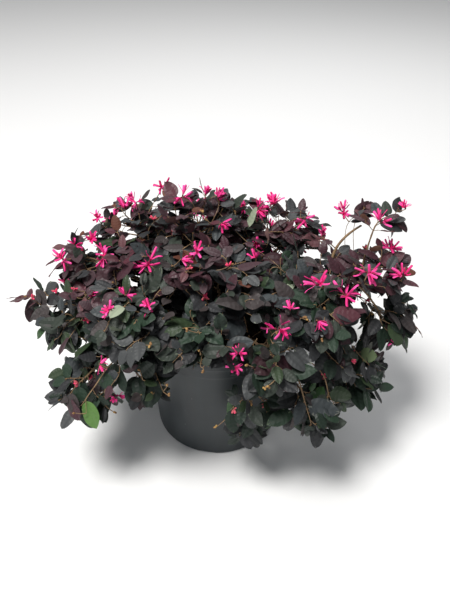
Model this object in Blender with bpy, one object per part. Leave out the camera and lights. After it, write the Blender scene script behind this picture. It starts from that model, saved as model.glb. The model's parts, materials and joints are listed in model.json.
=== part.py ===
"""Potted Chinese fringe flower: a wide, arching evergreen shrub in a plastic
nursery pot.

Frame: +Z up, metres.  The origin is the centre of the pot's flat underside.
-Y is the front of the plant, +X its right-hand side seen from the front.

Pieces: pot, potting mix, short stem (root crown), tapering boughs that fan out
of the stem, and one closed uneven solid for each mass of foliage.
"""
import bpy
import bmesh
import math
import random
from mathutils import Vector, Matrix
from mathutils.bvhtree import BVHTree

for old in list(bpy.data.objects):
    bpy.data.objects.remove(old, do_unlink=True)

# --------------------------------------------------------------------------
# Driving dimensions
# --------------------------------------------------------------------------
GAP = 0.0003              # clearance between touching pieces

POT_HEIGHT = 0.240
POT_RIM_R = 0.131         # outside of the rolled lip
POT_LIP_H = 0.015         # height of the lip's skirt
POT_LIP_OUT = 0.0032      # how far the lip stands proud of the wall
POT_BASE_R = 0.1135       # outside, at the underside
POT_FOOT_ROUND = 0.0045   # rounding between wall and underside
POT_WALL = 0.0026
POT_FLOOR = 0.0030
POT_SIDES = 48
NOTCH_COUNT = 4           # drain notches round the foot
NOTCH_WIDTH = 0.034
NOTCH_HEIGHT = 0.0046
NOTCH_DEPTH = 0.016       # how far a notch runs in under the pot
NOTCH_FIRST_AZ = -99.0    # degrees

SOIL_TOP = 0.216          # 24 mm under the lip's top
SOIL_CROWN = 0.004        # the mix is heaped slightly round the stem
SOIL_SIDES = 32

STEM_FLARE_R = 0.026
STEM_R = 0.0165
STEM_TOP = 0.262
STEM_LEAN = (0.003, 0.002)
STEM_SIDES = 14

BOUGH_SIDES = 7
BOUGH_STATIONS = 8
BOUGH_WOBBLE = 0.0016     # sideways wander of a bough between its nodes

MASS_GAP = 0.0008         # clearance kept between neighbouring masses
POT_CLEAR = 0.0040        # foliage stays this far off the pot
LOBE_WIDTH = 0.40         # radians; how broad a shoot's lobe is on a mass
LOBE_LOW = 0.84           # radius between the lobes, as a share of the size
LOBE_HIGH = 1.15          # radius on a lobe
LOBES = 11

# Foliage masses.  az: direction round the pot in degrees (0 = +X, -90 =
# front), out: distance from the pot's axis, up: height of the centre, size:
# half-lengths (outward, across, vertical), droop: degrees that the outward
# axis dips, n: vertices on the solid.
MASSES = {
    # crown, top
    "mass_top_centre":     dict(az=118, out=0.056, up=0.392, size=(0.078, 0.082, 0.052), droop=4, n=96),
    "mass_top_left":       dict(az=150, out=0.172, up=0.359, size=(0.076, 0.082, 0.050), droop=14, n=96),
    "mass_top_right":      dict(az=36, out=0.122, up=0.370, size=(0.074, 0.084, 0.044), droop=8, n=96),
    "mass_centre":         dict(az=-90, out=0.064, up=0.358, size=(0.074, 0.094, 0.050), droop=8, n=96),
    "mass_left_shoulder":  dict(az=-172, out=0.120, up=0.350, size=(0.060, 0.062, 0.036), droop=8, n=76),
    "mass_right_inner":    dict(az=-4, out=0.138, up=0.346, size=(0.054, 0.062, 0.036), droop=6, n=76),
    # right-hand side
    "mass_right_upper":    dict(az=7, out=0.254, up=0.406, size=(0.068, 0.042, 0.027), droop=-4, n=72),
    "mass_right_shoulder": dict(az=-2, out=0.246, up=0.338, size=(0.090, 0.074, 0.037), droop=6, n=96),
    "mass_right_tip":      dict(az=-3, out=0.288, up=0.246, size=(0.060, 0.064, 0.048), droop=22, n=84),
    "mass_right_front":    dict(az=-30, out=0.182, up=0.318, size=(0.072, 0.078, 0.048), droop=14, n=96),
    "mass_right_mid":      dict(az=-30, out=0.216, up=0.250, size=(0.060, 0.066, 0.040), droop=26, n=76),
    "mass_right_mid_low":  dict(az=-20, out=0.250, up=0.192, size=(0.054, 0.064, 0.050), droop=30, n=76),
    "mass_right_low":      dict(az=-45, out=0.220, up=0.190, size=(0.056, 0.068, 0.046), droop=30, n=84),
    # front
    "mass_front_centre":   dict(az=-98, out=0.146, up=0.298, size=(0.056, 0.080, 0.048), droop=22, n=84),
    "mass_front_right":    dict(az=-60, out=0.172, up=0.270, size=(0.056, 0.070, 0.054), droop=24, n=84),
    "mass_front_hanging":  dict(az=-72, out=0.170, up=0.166, size=(0.034, 0.056, 0.072), droop=4, n=76),
    # left-hand side
    "mass_left_front":     dict(az=-139, out=0.166, up=0.312, size=(0.070, 0.078, 0.050), droop=14, n=96),
    "mass_left_front_low": dict(az=-140, out=0.206, up=0.246, size=(0.052, 0.066, 0.034), droop=28, n=72),
    "mass_left_inner_low": dict(az=-124, out=0.184, up=0.222, size=(0.038, 0.052, 0.046), droop=24, n=72),
    "mass_left_low":       dict(az=-148, out=0.240, up=0.196, size=(0.062, 0.080, 0.043), droop=26, n=84),
    "mass_left_mid":       dict(az=-168, out=0.230, up=0.270, size=(0.072, 0.076, 0.050), droop=16, n=84),
    "mass_left_tip":       dict(az=-178, out=0.298, up=0.280, size=(0.048, 0.034, 0.025), droop=2, n=60),
    "mass_left_upper":     dict(az=169, out=0.222, up=0.330, size=(0.062, 0.070, 0.042), droop=12, n=84),
    # back
    "mass_back_left":      dict(az=126, out=0.200, up=0.290, size=(0.064, 0.080, 0.050), droop=22, n=84),
    "mass_back_centre":    dict(az=88, out=0.176, up=0.316, size=(0.064, 0.084, 0.048), droop=20, n=84),
    "mass_back_right":     dict(az=46, out=0.210, up=0.302, size=(0.064, 0.080, 0.050), droop=20, n=84),
    "mass_back_low_left":  dict(az=110, out=0.214, up=0.214, size=(0.044, 0.076, 0.052), droop=28, n=72),
    "mass_back_low_right": dict(az=64, out=0.214, up=0.222, size=(0.044, 0.074, 0.050), droop=28, n=72),
    "mass_side_left":      dict(az=152, out=0.248, up=0.240, size=(0.052, 0.072, 0.050), droop=26, n=76),
    "mass_side_right":     dict(az=20, out=0.262, up=0.262, size=(0.060, 0.070, 0.048), droop=24, n=76),
}

# Boughs.  mass: where the limb ends, start: direction in which it leaves the
# stem in degrees, rise: height at which it leaves, arch: how far its middle is
# lifted above the straight line, r: radius at the stem and at the tip.
BOUGHS = {
    "bough_top_centre":     dict(mass="mass_top_centre", start=135, rise="top", arch=0.000, r=(0.0055, 0.0030)),
    "bough_top_right":      dict(mass="mass_top_right", start=45, rise="top", arch=0.002, r=(0.0052, 0.0028)),
    "bough_top_left":       dict(mass="mass_top_left", start=-160, rise="top", arch=-0.006, r=(0.0052, 0.0026)),
    "bough_centre":         dict(mass="mass_centre", start=-75, rise="top", arch=0.000, r=(0.0050, 0.0028)),
    "bough_right_shoulder": dict(mass="mass_right_shoulder", start=4, rise=0.250, arch=-0.010, r=(0.0052, 0.0022)),
    "bough_right_front":    dict(mass="mass_right_front", start=-28, rise=0.241, arch=0.002, r=(0.0048, 0.0024)),
    "bough_right_mid":      dict(mass="mass_right_mid", start=-44, rise=0.252, arch=0.012, r=(0.0042, 0.0022)),
    "bough_front_right":    dict(mass="mass_front_right", start=-70, rise=0.240, arch=0.010, r=(0.0044, 0.0022)),
    "bough_front_centre":   dict(mass="mass_front_centre", start=-96, rise=0.252, arch=0.004, r=(0.0044, 0.0024)),
    "bough_left_front":     dict(mass="mass_left_front", start=-124, rise=0.241, arch=0.002, r=(0.0048, 0.0024)),
    "bough_left_low":       dict(mass="mass_left_front_low", start=-148, rise=0.252, arch=0.008, r=(0.0042, 0.0022)),
    "bough_left_mid":       dict(mass="mass_left_mid", start=-176, rise=0.241, arch=0.008, r=(0.0050, 0.0024)),
    "bough_left_upper":     dict(mass="mass_left_upper", start=158, rise=0.250, arch=-0.008, r=(0.0050, 0.0024)),
    "bough_back_left":      dict(mass="mass_back_left", start=122, rise=0.241, arch=0.006, r=(0.0046, 0.0024)),
    "bough_back_centre":    dict(mass="mass_back_centre", start=92, rise=0.250, arch=0.002, r=(0.0050, 0.0026)),
    "bough_back_right":     dict(mass="mass_back_right", start=62, rise=0.241, arch=0.006, r=(0.0048, 0.0024)),
    "bough_side_right":     dict(mass="mass_side_right", start=32, rise=0.249, arch=0.004, r=(0.0044, 0.0022)),
}

# A long bare shoot carries the right-hand upper spray over a gap in the crown.
SHOOT = dict(name="shoot_right_upper", root="mass_right_shoulder", tip="mass_right_upper",
             root_at=(0.190, 0.004, 0.332), via=(0.184, 0.018, 0.378), r=(0.0026, 0.0018))

# --------------------------------------------------------------------------
# Materials
# --------------------------------------------------------------------------
def material(name, rgb, roughness, metallic=0.0):
    m = bpy.data.materials.new(name)
    m.use_nodes = True
    b = m.node_tree.nodes["Principled BSDF"]
    b.inputs["Base Color"].default_value = (rgb[0], rgb[1], rgb[2], 1.0)
    b.inputs["Roughness"].default_value = roughness
    b.inputs["Metallic"].default_value = metallic
    m.diffuse_color = (rgb[0], rgb[1], rgb[2], 1.0)
    return m


# --------------------------------------------------------------------------
# Small helpers
# --------------------------------------------------------------------------
def new_object(name, bm, mat, smooth_angle=None):
    me = bpy.data.meshes.new(name)
    bmesh.ops.recalc_face_normals(bm, faces=bm.faces[:])
    bm.to_mesh(me)
    bm.free()
    me.materials.append(mat)
    ob = bpy.data.objects.new(name, me)
    bpy.context.scene.collection.objects.link(ob)
    if smooth_angle is not None:
        me.shade_smooth()
        me.set_sharp_from_angle(angle=math.radians(smooth_angle))
    return ob


def polar(az_deg, out, up):
    a = math.radians(az_deg)
    return Vector((out * math.cos(a), out * math.sin(a), up))


def revolve(profile, sides):
    """Closed solid turned about Z from a closed (r, z) loop; points on the
    axis become one vertex each."""
    bm = bmesh.new()
    rings = []
    for r, z in profile:
        if r < 1e-6:
            rings.append([bm.verts.new((0.0, 0.0, z))])
        else:
            rings.append([bm.verts.new((r * math.cos(2 * math.pi * i / sides),
                                        r * math.sin(2 * math.pi * i / sides), z)) for i in range(sides)])
    for a, b in zip(rings, rings[1:]):
        for i in range(sides):
            j = (i + 1) % sides
            if len(a) == 1 and len(b) == 1:
                continue
            if len(a) == 1:
                bm.faces.new((a[0], b[i], b[j]))
            elif len(b) == 1:
                bm.faces.new((a[i], b[0], a[j]))
            else:
                bm.faces.new((a[i], b[i], b[j], a[j]))
    return bm


def tube(points, radii, sides, flutes=0.0, seed=0):
    """Closed tapering limb along a list of points."""
    rng = random.Random(seed)
    bm = bmesh.new()
    n = len(points)
    tangents = []
    for i in range(n):
        a = points[max(i - 1, 0)]
        b = points[min(i + 1, n - 1)]
        tangents.append((b - a).normalized())
    ref = Vector((0, 0, 1)) if abs(tangents[0].z) < 0.9 else Vector((1, 0, 0))
    u = tangents[0].cross(ref).normalized()
    rings = []
    for i in range(n):
        t = tangents[i]
        u = (u - t * u.dot(t)).normalized()
        v = t.cross(u)
        ring = []
        for k in range(sides):
            a = 2 * math.pi * k / sides
            rr = radii[i] * (1.0 + flutes * math.cos(3 * a + seed) * 0.5 + flutes * rng.uniform(-0.3, 0.3))
            ring.append(bm.verts.new(points[i] + (u * math.cos(a) + v * math.sin(a)) * rr))
        rings.append(ring)
    for a, b in zip(rings, rings[1:]):
        for k in range(sides):
            j = (k + 1) % sides
            bm.faces.new((a[k], a[j], b[j], b[k]))
    bm.faces.new(rings[0])
    bm.faces.new(rings[-1])
    return bm


# --------------------------------------------------------------------------
# Pot and potting mix
# --------------------------------------------------------------------------
def wall_r(z):
    """Outside radius of the pot's wall below the lip."""
    top = POT_RIM_R - POT_LIP_OUT
    return POT_BASE_R + (top - POT_BASE_R) * z / POT_HEIGHT


def build_pot(mat):
    w = POT_WALL
    skirt = POT_HEIGHT - POT_LIP_H
    outer = [(0.0, 0.0), (POT_BASE_R - POT_FOOT_ROUND, 0.0)]
    for k in range(1, 4):
        a = math.radians(90.0 * k / 4)
        outer.append((POT_BASE_R - POT_FOOT_ROUND + (wall_r(POT_FOOT_ROUND) - POT_BASE_R + POT_FOOT_ROUND) * math.sin(a),
                      POT_FOOT_ROUND * (1 - math.cos(a))))
    outer += [(wall_r(POT_FOOT_ROUND), POT_FOOT_ROUND),
              (wall_r(0.09), 0.09),
              (wall_r(skirt - 0.022), skirt - 0.022),
              (wall_r(skirt - 0.018) + 0.0008, skirt - 0.018),
              (wall_r(skirt) + 0.0008, skirt),
              (POT_RIM_R - 0.0006, skirt + 0.0004),
              (POT_RIM_R, skirt + 0.0030),
              (POT_RIM_R, POT_HEIGHT - 0.0026),
              (POT_RIM_R - 0.0010, POT_HEIGHT - 0.0007),
              (POT_RIM_R - 0.0026, POT_HEIGHT),
              (POT_RIM_R - 0.0048, POT_HEIGHT),
              (wall_r(skirt) - w, POT_HEIGHT - 0.0016)]
    inner = [(wall_r(skirt) - w, skirt),
             (wall_r(0.09) - w, 0.09),
             (wall_r(POT_FOOT_ROUND) - w, POT_FOOT_ROUND + 0.001),
             (wall_r(POT_FLOOR) - w - 0.0022, POT_FLOOR),
             (0.0, POT_FLOOR)]
    ob = new_object("pot", revolve(outer + inner, POT_SIDES), mat, 32)

    # drain notches: low arches cut through the foot of the wall
    cutters = []
    for i in range(NOTCH_COUNT):
        az = NOTCH_FIRST_AZ + 360.0 * i / NOTCH_COUNT
        h, hw = NOTCH_HEIGHT, NOTCH_WIDTH / 2
        arch = [(-hw, -0.004), (-hw, h * 0.35), (-hw + 0.003, h * 0.80), (-hw + 0.008, h),
                (hw - 0.008, h), (hw - 0.003, h * 0.80), (hw, h * 0.35), (hw, -0.004)]
        bm = bmesh.new()
        near = [bm.verts.new((POT_BASE_R - NOTCH_DEPTH, y, z)) for y, z in arch]
        far = [bm.verts.new((POT_BASE_R + 0.010, y, z)) for y, z in arch]
        bm.faces.new(near)
        bm.faces.new(far)
        for k in range(len(arch)):
            j = (k + 1) % len(arch)
            bm.faces.new((near[k], near[j], far[j], far[k]))
        c = new_object("notch_cutter_%d" % i, bm, mat)
        c.rotation_euler = (0, 0, math.radians(az))
        c.hide_render = True
        c.display_type = 'WIRE'
        cutters.append(c)
    for c in cutters:
        mod = ob.modifiers.new("drain", 'BOOLEAN')
        mod.operation = 'DIFFERENCE'
        mod.solver = 'EXACT'
        mod.object = c
    return ob


def soil_r(z):
    return wall_r(z) - POT_WALL - GAP


def build_soil(mat):
    bottom = POT_FLOOR + GAP
    prof = [(0.0, bottom), (POT_BASE_R - NOTCH_DEPTH - 0.0012, bottom),
            (wall_r(NOTCH_HEIGHT) - POT_WALL - 0.0080, NOTCH_HEIGHT + 0.0012),
            (soil_r(0.012) - 0.0006, 0.012),
            (soil_r(0.09) - 0.0003, 0.09),
            (soil_r(SOIL_TOP - 0.006) - 0.0004, SOIL_TOP - 0.006),
            (soil_r(SOIL_TOP) - 0.0060, SOIL_TOP - 0.0010),
            (0.080, SOIL_TOP + SOIL_CROWN * 0.30),
            (0.045, SOIL_TOP + SOIL_CROWN), (0.0, SOIL_TOP + SOIL_CROWN)]
    return new_object("potting_mix", revolve(prof, SOIL_SIDES), mat, 40)


# --------------------------------------------------------------------------
# Stem
# --------------------------------------------------------------------------
def stem_axis(z):
    f = (z - SOIL_TOP) / (STEM_TOP - SOIL_TOP)
    return Vector((STEM_LEAN[0] * f, STEM_LEAN[1] * f, z))


def stem_radius(z):
    f = max(0.0, min(1.0, (z - SOIL_TOP) / (STEM_TOP - SOIL_TOP)))
    return STEM_R + (STEM_FLARE_R - STEM_R) * (1 - f) ** 3.0


def build_stem(mat):
    foot = SOIL_TOP + SOIL_CROWN + GAP
    zs = [foot, foot + 0.004, foot + 0.010, foot + 0.020, STEM_TOP - 0.008, STEM_TOP]
    rng = random.Random(5)
    ridge = [1.0 + 0.10 * math.cos(5 * 2 * math.pi * k / STEM_SIDES + 0.6) + rng.uniform(-0.03, 0.03) for k in range(STEM_SIDES)]
    bm = bmesh.new()
    rings = []
    for i, z in enumerate(zs):
        fade = 1.0 - i / (len(zs) - 1)
        c = stem_axis(z)
        ring = []
        for k in range(STEM_SIDES):
            a = 2 * math.pi * k / STEM_SIDES
            r = stem_radius(z) * (1.0 + (ridge[k] - 1.0) * (0.35 + 0.65 * fade))
            ring.append(bm.verts.new((c.x + r * math.cos(a), c.y + r * math.sin(a), z)))
        rings.append(ring)
    for a, b in zip(rings, rings[1:]):
        for k in range(STEM_SIDES):
            j = (k + 1) % STEM_SIDES
            bm.faces.new((a[k], a[j], b[j], b[k]))
    bm.faces.new(rings[0])
    bm.faces.new(rings[-1])
    return new_object("stem", bm, mat, 40)


# --------------------------------------------------------------------------
# Foliage masses
# --------------------------------------------------------------------------
def mass_frame(m):
    """Centre and local axes (outward, across, up) of a mass."""
    c = polar(m["az"], m["out"], m["up"])
    a = math.radians(m["az"])
    d = math.radians(m["droop"])
    outward = Vector((math.cos(a) * math.cos(d), math.sin(a) * math.cos(d), -math.sin(d)))
    across = Vector((-math.sin(a), math.cos(a), 0.0))
    return c, outward, across, outward.cross(across)


def ellipsoid_r(m, frame, direction):
    """Radius of a mass's smooth ellipsoid along a unit direction."""
    _, o, a, u = frame
    q = [direction.dot(e) / s for e, s in zip((o, a, u), m["size"])]
    return 1.0 / math.sqrt(sum(v * v for v in q))


def fibonacci_directions(n, turn):
    golden = math.pi * (3.0 - math.sqrt(5.0))
    out = []
    for i in range(n):
        z = 1.0 - 2.0 * (i + 0.5) / n
        r = math.sqrt(1.0 - z * z)
        a = golden * i + turn
        out.append(Vector((r * math.cos(a), r * math.sin(a), z)))
    return out


def lobe_factor(direction, lobes):
    best = 0.0
    for axis, strength in lobes:
        ang = direction.angle(axis)
        best = max(best, strength * math.exp(-(ang / LOBE_WIDTH) ** 2))
    return LOBE_LOW + (LOBE_HIGH - LOBE_LOW) * best


def bough_path(spec, frames, steps=40):
    """Dense points from the stem to the centre of the bough's mass."""
    end = frames[spec["mass"]][0]
    if spec["rise"] == "top":
        start = stem_axis(STEM_TOP) + polar(spec["start"], 0.0088, 0.0)
        out = polar(spec["start"], 0.020, 0.035)
    else:
        z = spec["rise"]
        start = stem_axis(z) + polar(spec["start"], STEM_R * 0.80, 0.0)
        out = polar(spec["start"], 0.040, 0.010)
    c1 = start + out
    mid = (start + end) * 0.5
    c2 = mid + Vector((0, 0, spec["arch"] * 2.0)) + (end - start) * 0.12
    rng = random.Random(spec["mass"])
    ph = rng.uniform(0, 6.28)
    side = (end - start).cross(Vector((0, 0, 1))).normalized()
    pts = []
    for i in range(steps + 1):
        t = i / steps
        p = (start * (1 - t) ** 3 + c1 * (3 * t * (1 - t) ** 2) + c2 * (3 * t * t * (1 - t)) + end * t ** 3)
        w = BOUGH_WOBBLE * math.sin(math.pi * t) * math.sin(9.0 * t + ph)
        pts.append(p + side * w)
    return pts


def inside_ellipsoid(p, m, frame, scale):
    c, o, a, u = frame
    d = p - c
    q = [d.dot(e) / (s * scale) for e, s in zip((o, a, u), m["size"])]
    return sum(v * v for v in q) < 1.0


def mass_planes(name, frames, limbs):
    """Planes (unit normal, distance from the centre) that a mass stays behind."""
    m, fr = MASSES[name], frames[name]
    c = fr[0]
    planes = []
    for other, om in MASSES.items():
        if other == name:
            continue
        oc = frames[other][0]
        d = oc - c
        dist = d.length
        d = d.normalized()
        ra = ellipsoid_r(m, fr, d)
        rb = ellipsoid_r(om, frames[other], -d)
        if ra + rb > dist * 0.75:
            planes.append((d, dist * ra / (ra + rb) - MASS_GAP / 2))
        elif (ra + rb) * LOBE_HIGH > dist * 0.70:
            planes.append((d, dist * ra / (ra + rb) - MASS_GAP / 2))
    # limbs of other masses, each taken as a convex bundle of points
    for owners, pts, radius in limbs:
        if name in owners:
            continue
        near = min(pts, key=lambda p: (p - c).length)
        if (near - c).length > max(m["size"]) * 1.5 + radius:
            continue
        best = None
        for target in pts:
            n = (target - c).normalized()
            d = min((p - c).dot(n) for p in pts)
            if best is None or d > best[1]:
                best = (n, d)
        planes.append((best[0], best[1] - radius - 0.0012))
    # the pot: above its lip, or outside its wall
    if c.z > POT_HEIGHT + 0.022:
        planes.append((Vector((0, 0, -1)), c.z - POT_HEIGHT - POT_CLEAR))
    else:
        n = Vector((-c.x, -c.y, 0)).normalized()
        planes.append((n, math.hypot(c.x, c.y) - POT_RIM_R - POT_CLEAR))
    planes.append((Vector((0, 0, -1)), c.z - 0.012))
    return planes


def build_mass(name, frames, limbs, mat):
    m, fr = MASSES[name], frames[name]
    rng = random.Random(name)
    c, o, a, u = fr
    lobes = []
    for d in fibonacci_directions(LOBES, rng.uniform(0, 6.28)):
        d = (d + Vector([rng.uniform(-0.28, 0.28) for _ in range(3)])).normalized()
        lobes.append((d, rng.uniform(0.55, 1.0)))
    planes = mass_planes(name, frames, limbs)
    bm = bmesh.new()
    dirs = fibonacci_directions(m["n"], rng.uniform(0, 6.28))
    verts = [bm.verts.new(d) for d in dirs]
    hull = bmesh.ops.convex_hull(bm, input=verts)
    bmesh.ops.delete(bm, geom=[g for g in hull["geom_interior"] + hull["geom_unused"]], context='VERTS')
    for v in bm.verts:
        d = v.co.normalized()
        r = ellipsoid_r(m, fr, d) * lobe_factor(d, lobes) * (1.0 + rng.uniform(-0.04, 0.04))
        for n, dist in planes:
            k = d.dot(n)
            if k > 1e-4:
                r = min(r, dist / k)
        v.co = c + d * max(r, 0.004)
    ob = new_object(name, bm, mat)
    return ob, min(dist for _, dist in planes)


# --------------------------------------------------------------------------
# Boughs, trimmed where they leave the stem and where they enter a mass
# --------------------------------------------------------------------------
def tree_of(ob):
    bm = bmesh.new()
    bm.from_mesh(ob.data)
    t = BVHTree.FromBMesh(bm)
    bm.free()
    return t


def ring_points(p, tangent, r, sides=8):
    ref = Vector((0, 0, 1)) if abs(tangent.z) < 0.9 else Vector((1, 0, 0))
    u = tangent.cross(ref).normalized()
    v = tangent.cross(u)
    return [p] + [p + (u * math.cos(2 * math.pi * k / sides) + v * math.sin(2 * math.pi * k / sides)) * r * 1.06
                  for k in range(sides)]


def is_clear(p, tangent, r, tree, gap):
    """True when a disc of radius r at p keeps off a closed solid."""
    for q in ring_points(p, tangent, r):
        hit, normal, _, dist = tree.find_nearest(q)
        if (q - hit).dot(normal) < 0 or dist < gap:
            return False
    return True


def trimmed(pts, radii, from_tree, to_tree, gap=0.0005):
    """First and last index of the longest stretch that is clear of both ends."""
    n = len(pts)
    best, run = (0, 0), None
    for i in range(n):
        t = (pts[min(i + 1, n - 1)] - pts[max(i - 1, 0)]).normalized()
        ok = is_clear(pts[i], t, radii[i], from_tree, gap) and is_clear(pts[i], t, radii[i], to_tree, gap)
        if ok:
            run = i if run is None else run
            if i - run > best[1] - best[0]:
                best = (run, i)
        else:
            run = None
    return best


def build_limb(name, pts, r0, r1, from_ob, to_ob, mat, seed):
    steps = len(pts) - 1
    radii = [r0 + (r1 - r0) * i / steps for i in range(steps + 1)]
    lo, hi = trimmed(pts, radii, tree_of(from_ob), tree_of(to_ob))
    path, rad = [], []
    for k in range(BOUGH_STATIONS):
        f = lo + (hi - lo) * k / (BOUGH_STATIONS - 1)
        i = min(int(f), steps - 1)
        w = f - i
        path.append(pts[i].lerp(pts[i + 1], w))
        rad.append(r0 + (r1 - r0) * k / (BOUGH_STATIONS - 1))
    return new_object(name, tube(path, rad, BOUGH_SIDES, 0.05, seed), mat, 60)


# --------------------------------------------------------------------------
# Assembly
# --------------------------------------------------------------------------
def main():
    pot_mat = material("pot_plastic", (0.040, 0.045, 0.049), 0.42)
    soil_mat = material("bark_mix", (0.060, 0.040, 0.026), 0.95)
    bark_mat = material("bark", (0.300, 0.205, 0.125), 0.85)
    plum = material("foliage_plum", (0.085, 0.060, 0.072), 0.55)
    green = material("foliage_green", (0.050, 0.085, 0.045), 0.55)

    plant = bpy.data.objects.new("plant", None)
    bpy.context.scene.collection.objects.link(plant)

    pot = build_pot(pot_mat)
    soil = build_soil(soil_mat)
    stem = build_stem(bark_mat)

    frames = {n: mass_frame(m) for n, m in MASSES.items()}
    limbs = []
    paths = {}
    for name, spec in BOUGHS.items():
        pts = bough_path(spec, frames)
        paths[name] = pts
        m, fr = MASSES[spec["mass"]], frames[spec["mass"]]
        seen = [p for p in pts if not inside_ellipsoid(p, m, fr, 0.80)]
        limbs.append(((spec["mass"],), seen, spec["r"][0]))
    s = SHOOT
    a, v, b = Vector(s["root_at"]), Vector(s["via"]), frames[s["tip"]][0]
    shoot_pts = [a * (1 - t) ** 2 + v * (2 * t * (1 - t)) + b * (t * t) for t in (i / 60 for i in range(61))]
    limbs.append(((s["root"], s["tip"]), shoot_pts, s["r"][0]))

    solids = {}
    for name in MASSES:
        low = MASSES[name]["up"] < 0.285
        solids[name], _ = build_mass(name, frames, limbs, green if low else plum)

    for i, (name, spec) in enumerate(BOUGHS.items()):
        build_limb(name, paths[name], spec["r"][0], spec["r"][1], stem, solids[spec["mass"]], bark_mat, i)
    build_limb(s["name"], shoot_pts, s["r"][0], s["r"][1], solids[s["root"]], solids[s["tip"]], bark_mat, 99)

    for ob in bpy.data.objects:
        if ob.type == 'MESH' and ob.parent is None and not ob.hide_render:
            ob.parent = plant


main()
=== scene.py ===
import bpy
import bmesh
import json
import math
import random
import numpy as np
from mathutils import Vector, Matrix
from mathutils.bvhtree import BVHTree
from mathutils.kdtree import KDTree

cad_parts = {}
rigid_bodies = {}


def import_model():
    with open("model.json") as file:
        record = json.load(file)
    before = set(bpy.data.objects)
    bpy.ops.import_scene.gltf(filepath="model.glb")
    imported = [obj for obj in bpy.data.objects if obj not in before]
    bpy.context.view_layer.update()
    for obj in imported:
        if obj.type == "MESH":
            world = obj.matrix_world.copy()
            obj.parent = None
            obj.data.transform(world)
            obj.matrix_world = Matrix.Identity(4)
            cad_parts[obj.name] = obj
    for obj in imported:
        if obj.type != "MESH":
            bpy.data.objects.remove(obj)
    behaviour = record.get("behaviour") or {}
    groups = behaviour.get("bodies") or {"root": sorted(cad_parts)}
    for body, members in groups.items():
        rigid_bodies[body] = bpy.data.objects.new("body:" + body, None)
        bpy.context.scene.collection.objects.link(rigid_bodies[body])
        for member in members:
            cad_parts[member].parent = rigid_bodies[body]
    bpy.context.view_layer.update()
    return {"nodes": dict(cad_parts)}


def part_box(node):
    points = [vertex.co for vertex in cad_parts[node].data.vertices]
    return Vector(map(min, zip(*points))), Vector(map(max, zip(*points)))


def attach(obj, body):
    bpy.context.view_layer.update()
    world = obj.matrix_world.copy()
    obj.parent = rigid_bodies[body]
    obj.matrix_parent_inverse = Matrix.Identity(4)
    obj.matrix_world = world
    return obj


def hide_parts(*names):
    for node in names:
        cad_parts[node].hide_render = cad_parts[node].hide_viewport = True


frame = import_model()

NODES = frame["nodes"]
RNG = np.random.default_rng(20417)

# --------------------------------------------------------------------------
# Sizes shared with the solids (metres)
# --------------------------------------------------------------------------
POT_HEIGHT, POT_RIM_R, POT_LIP_H, POT_LIP_OUT = 0.240, 0.131, 0.015, 0.0032
POT_BASE_R, POT_FOOT_ROUND, POT_WALL, POT_FLOOR = 0.1135, 0.0045, 0.0026, 0.0030
NOTCH_COUNT, NOTCH_WIDTH, NOTCH_HEIGHT, NOTCH_DEPTH, NOTCH_FIRST_AZ = 4, 0.034, 0.0046, 0.016, -99.0
SOIL_TOP, SOIL_CROWN = 0.216, 0.004
STEM_FLARE_R, STEM_R, STEM_TOP, STEM_LEAN = 0.026, 0.0165, 0.262, (0.003, 0.002)

# --------------------------------------------------------------------------
# Camera: the photo looks down on the plant by 38 degrees
# --------------------------------------------------------------------------
CAM_X, CAM_L, CAM_H = 0.015, 0.804, 0.895
PITCH = math.radians(38.0)
F_PX = 600.0

cam_data = bpy.data.cameras.new("camera")
cam_data.lens = 36.0
cam_data.sensor_width = 36.0
cam_data.clip_start = 0.01
cam_data.clip_end = 50.0
camera = bpy.data.objects.new("camera", cam_data)
camera.location = (CAM_X, -CAM_L, CAM_H)
camera.rotation_euler = (math.radians(90.0) - PITCH, 0.0, 0.0)
bpy.context.scene.collection.objects.link(camera)
bpy.context.scene.camera = camera

CAM_POS = np.array([CAM_X, -CAM_L, CAM_H])
CAM_FWD = np.array([0.0, math.cos(PITCH), -math.sin(PITCH)])
CAM_UP = np.array([0.0, math.sin(PITCH), math.cos(PITCH)])


def project(p):
    """World points (N, 3) to photo pixels (N, 2) and depth (N)."""
    q = np.atleast_2d(p) - CAM_POS
    z = q @ CAM_FWD
    return np.stack([225.0 + F_PX * q[:, 0] / z, 300.0 - F_PX * (q @ CAM_UP) / z], 1), z


def pixel_ray(px, py):
    d = CAM_FWD + np.array([1.0, 0, 0]) * (px - 225.0) / F_PX + CAM_UP * (300.0 - py) / F_PX
    return d / np.linalg.norm(d)


# --------------------------------------------------------------------------
# Materials
# --------------------------------------------------------------------------
def srgb(r, g, b):
    return tuple(((c / 255.0) / 12.92 if c / 255.0 <= 0.04045 else ((c / 255.0 + 0.055) / 1.055) ** 2.4) for c in (r, g, b))


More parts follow.
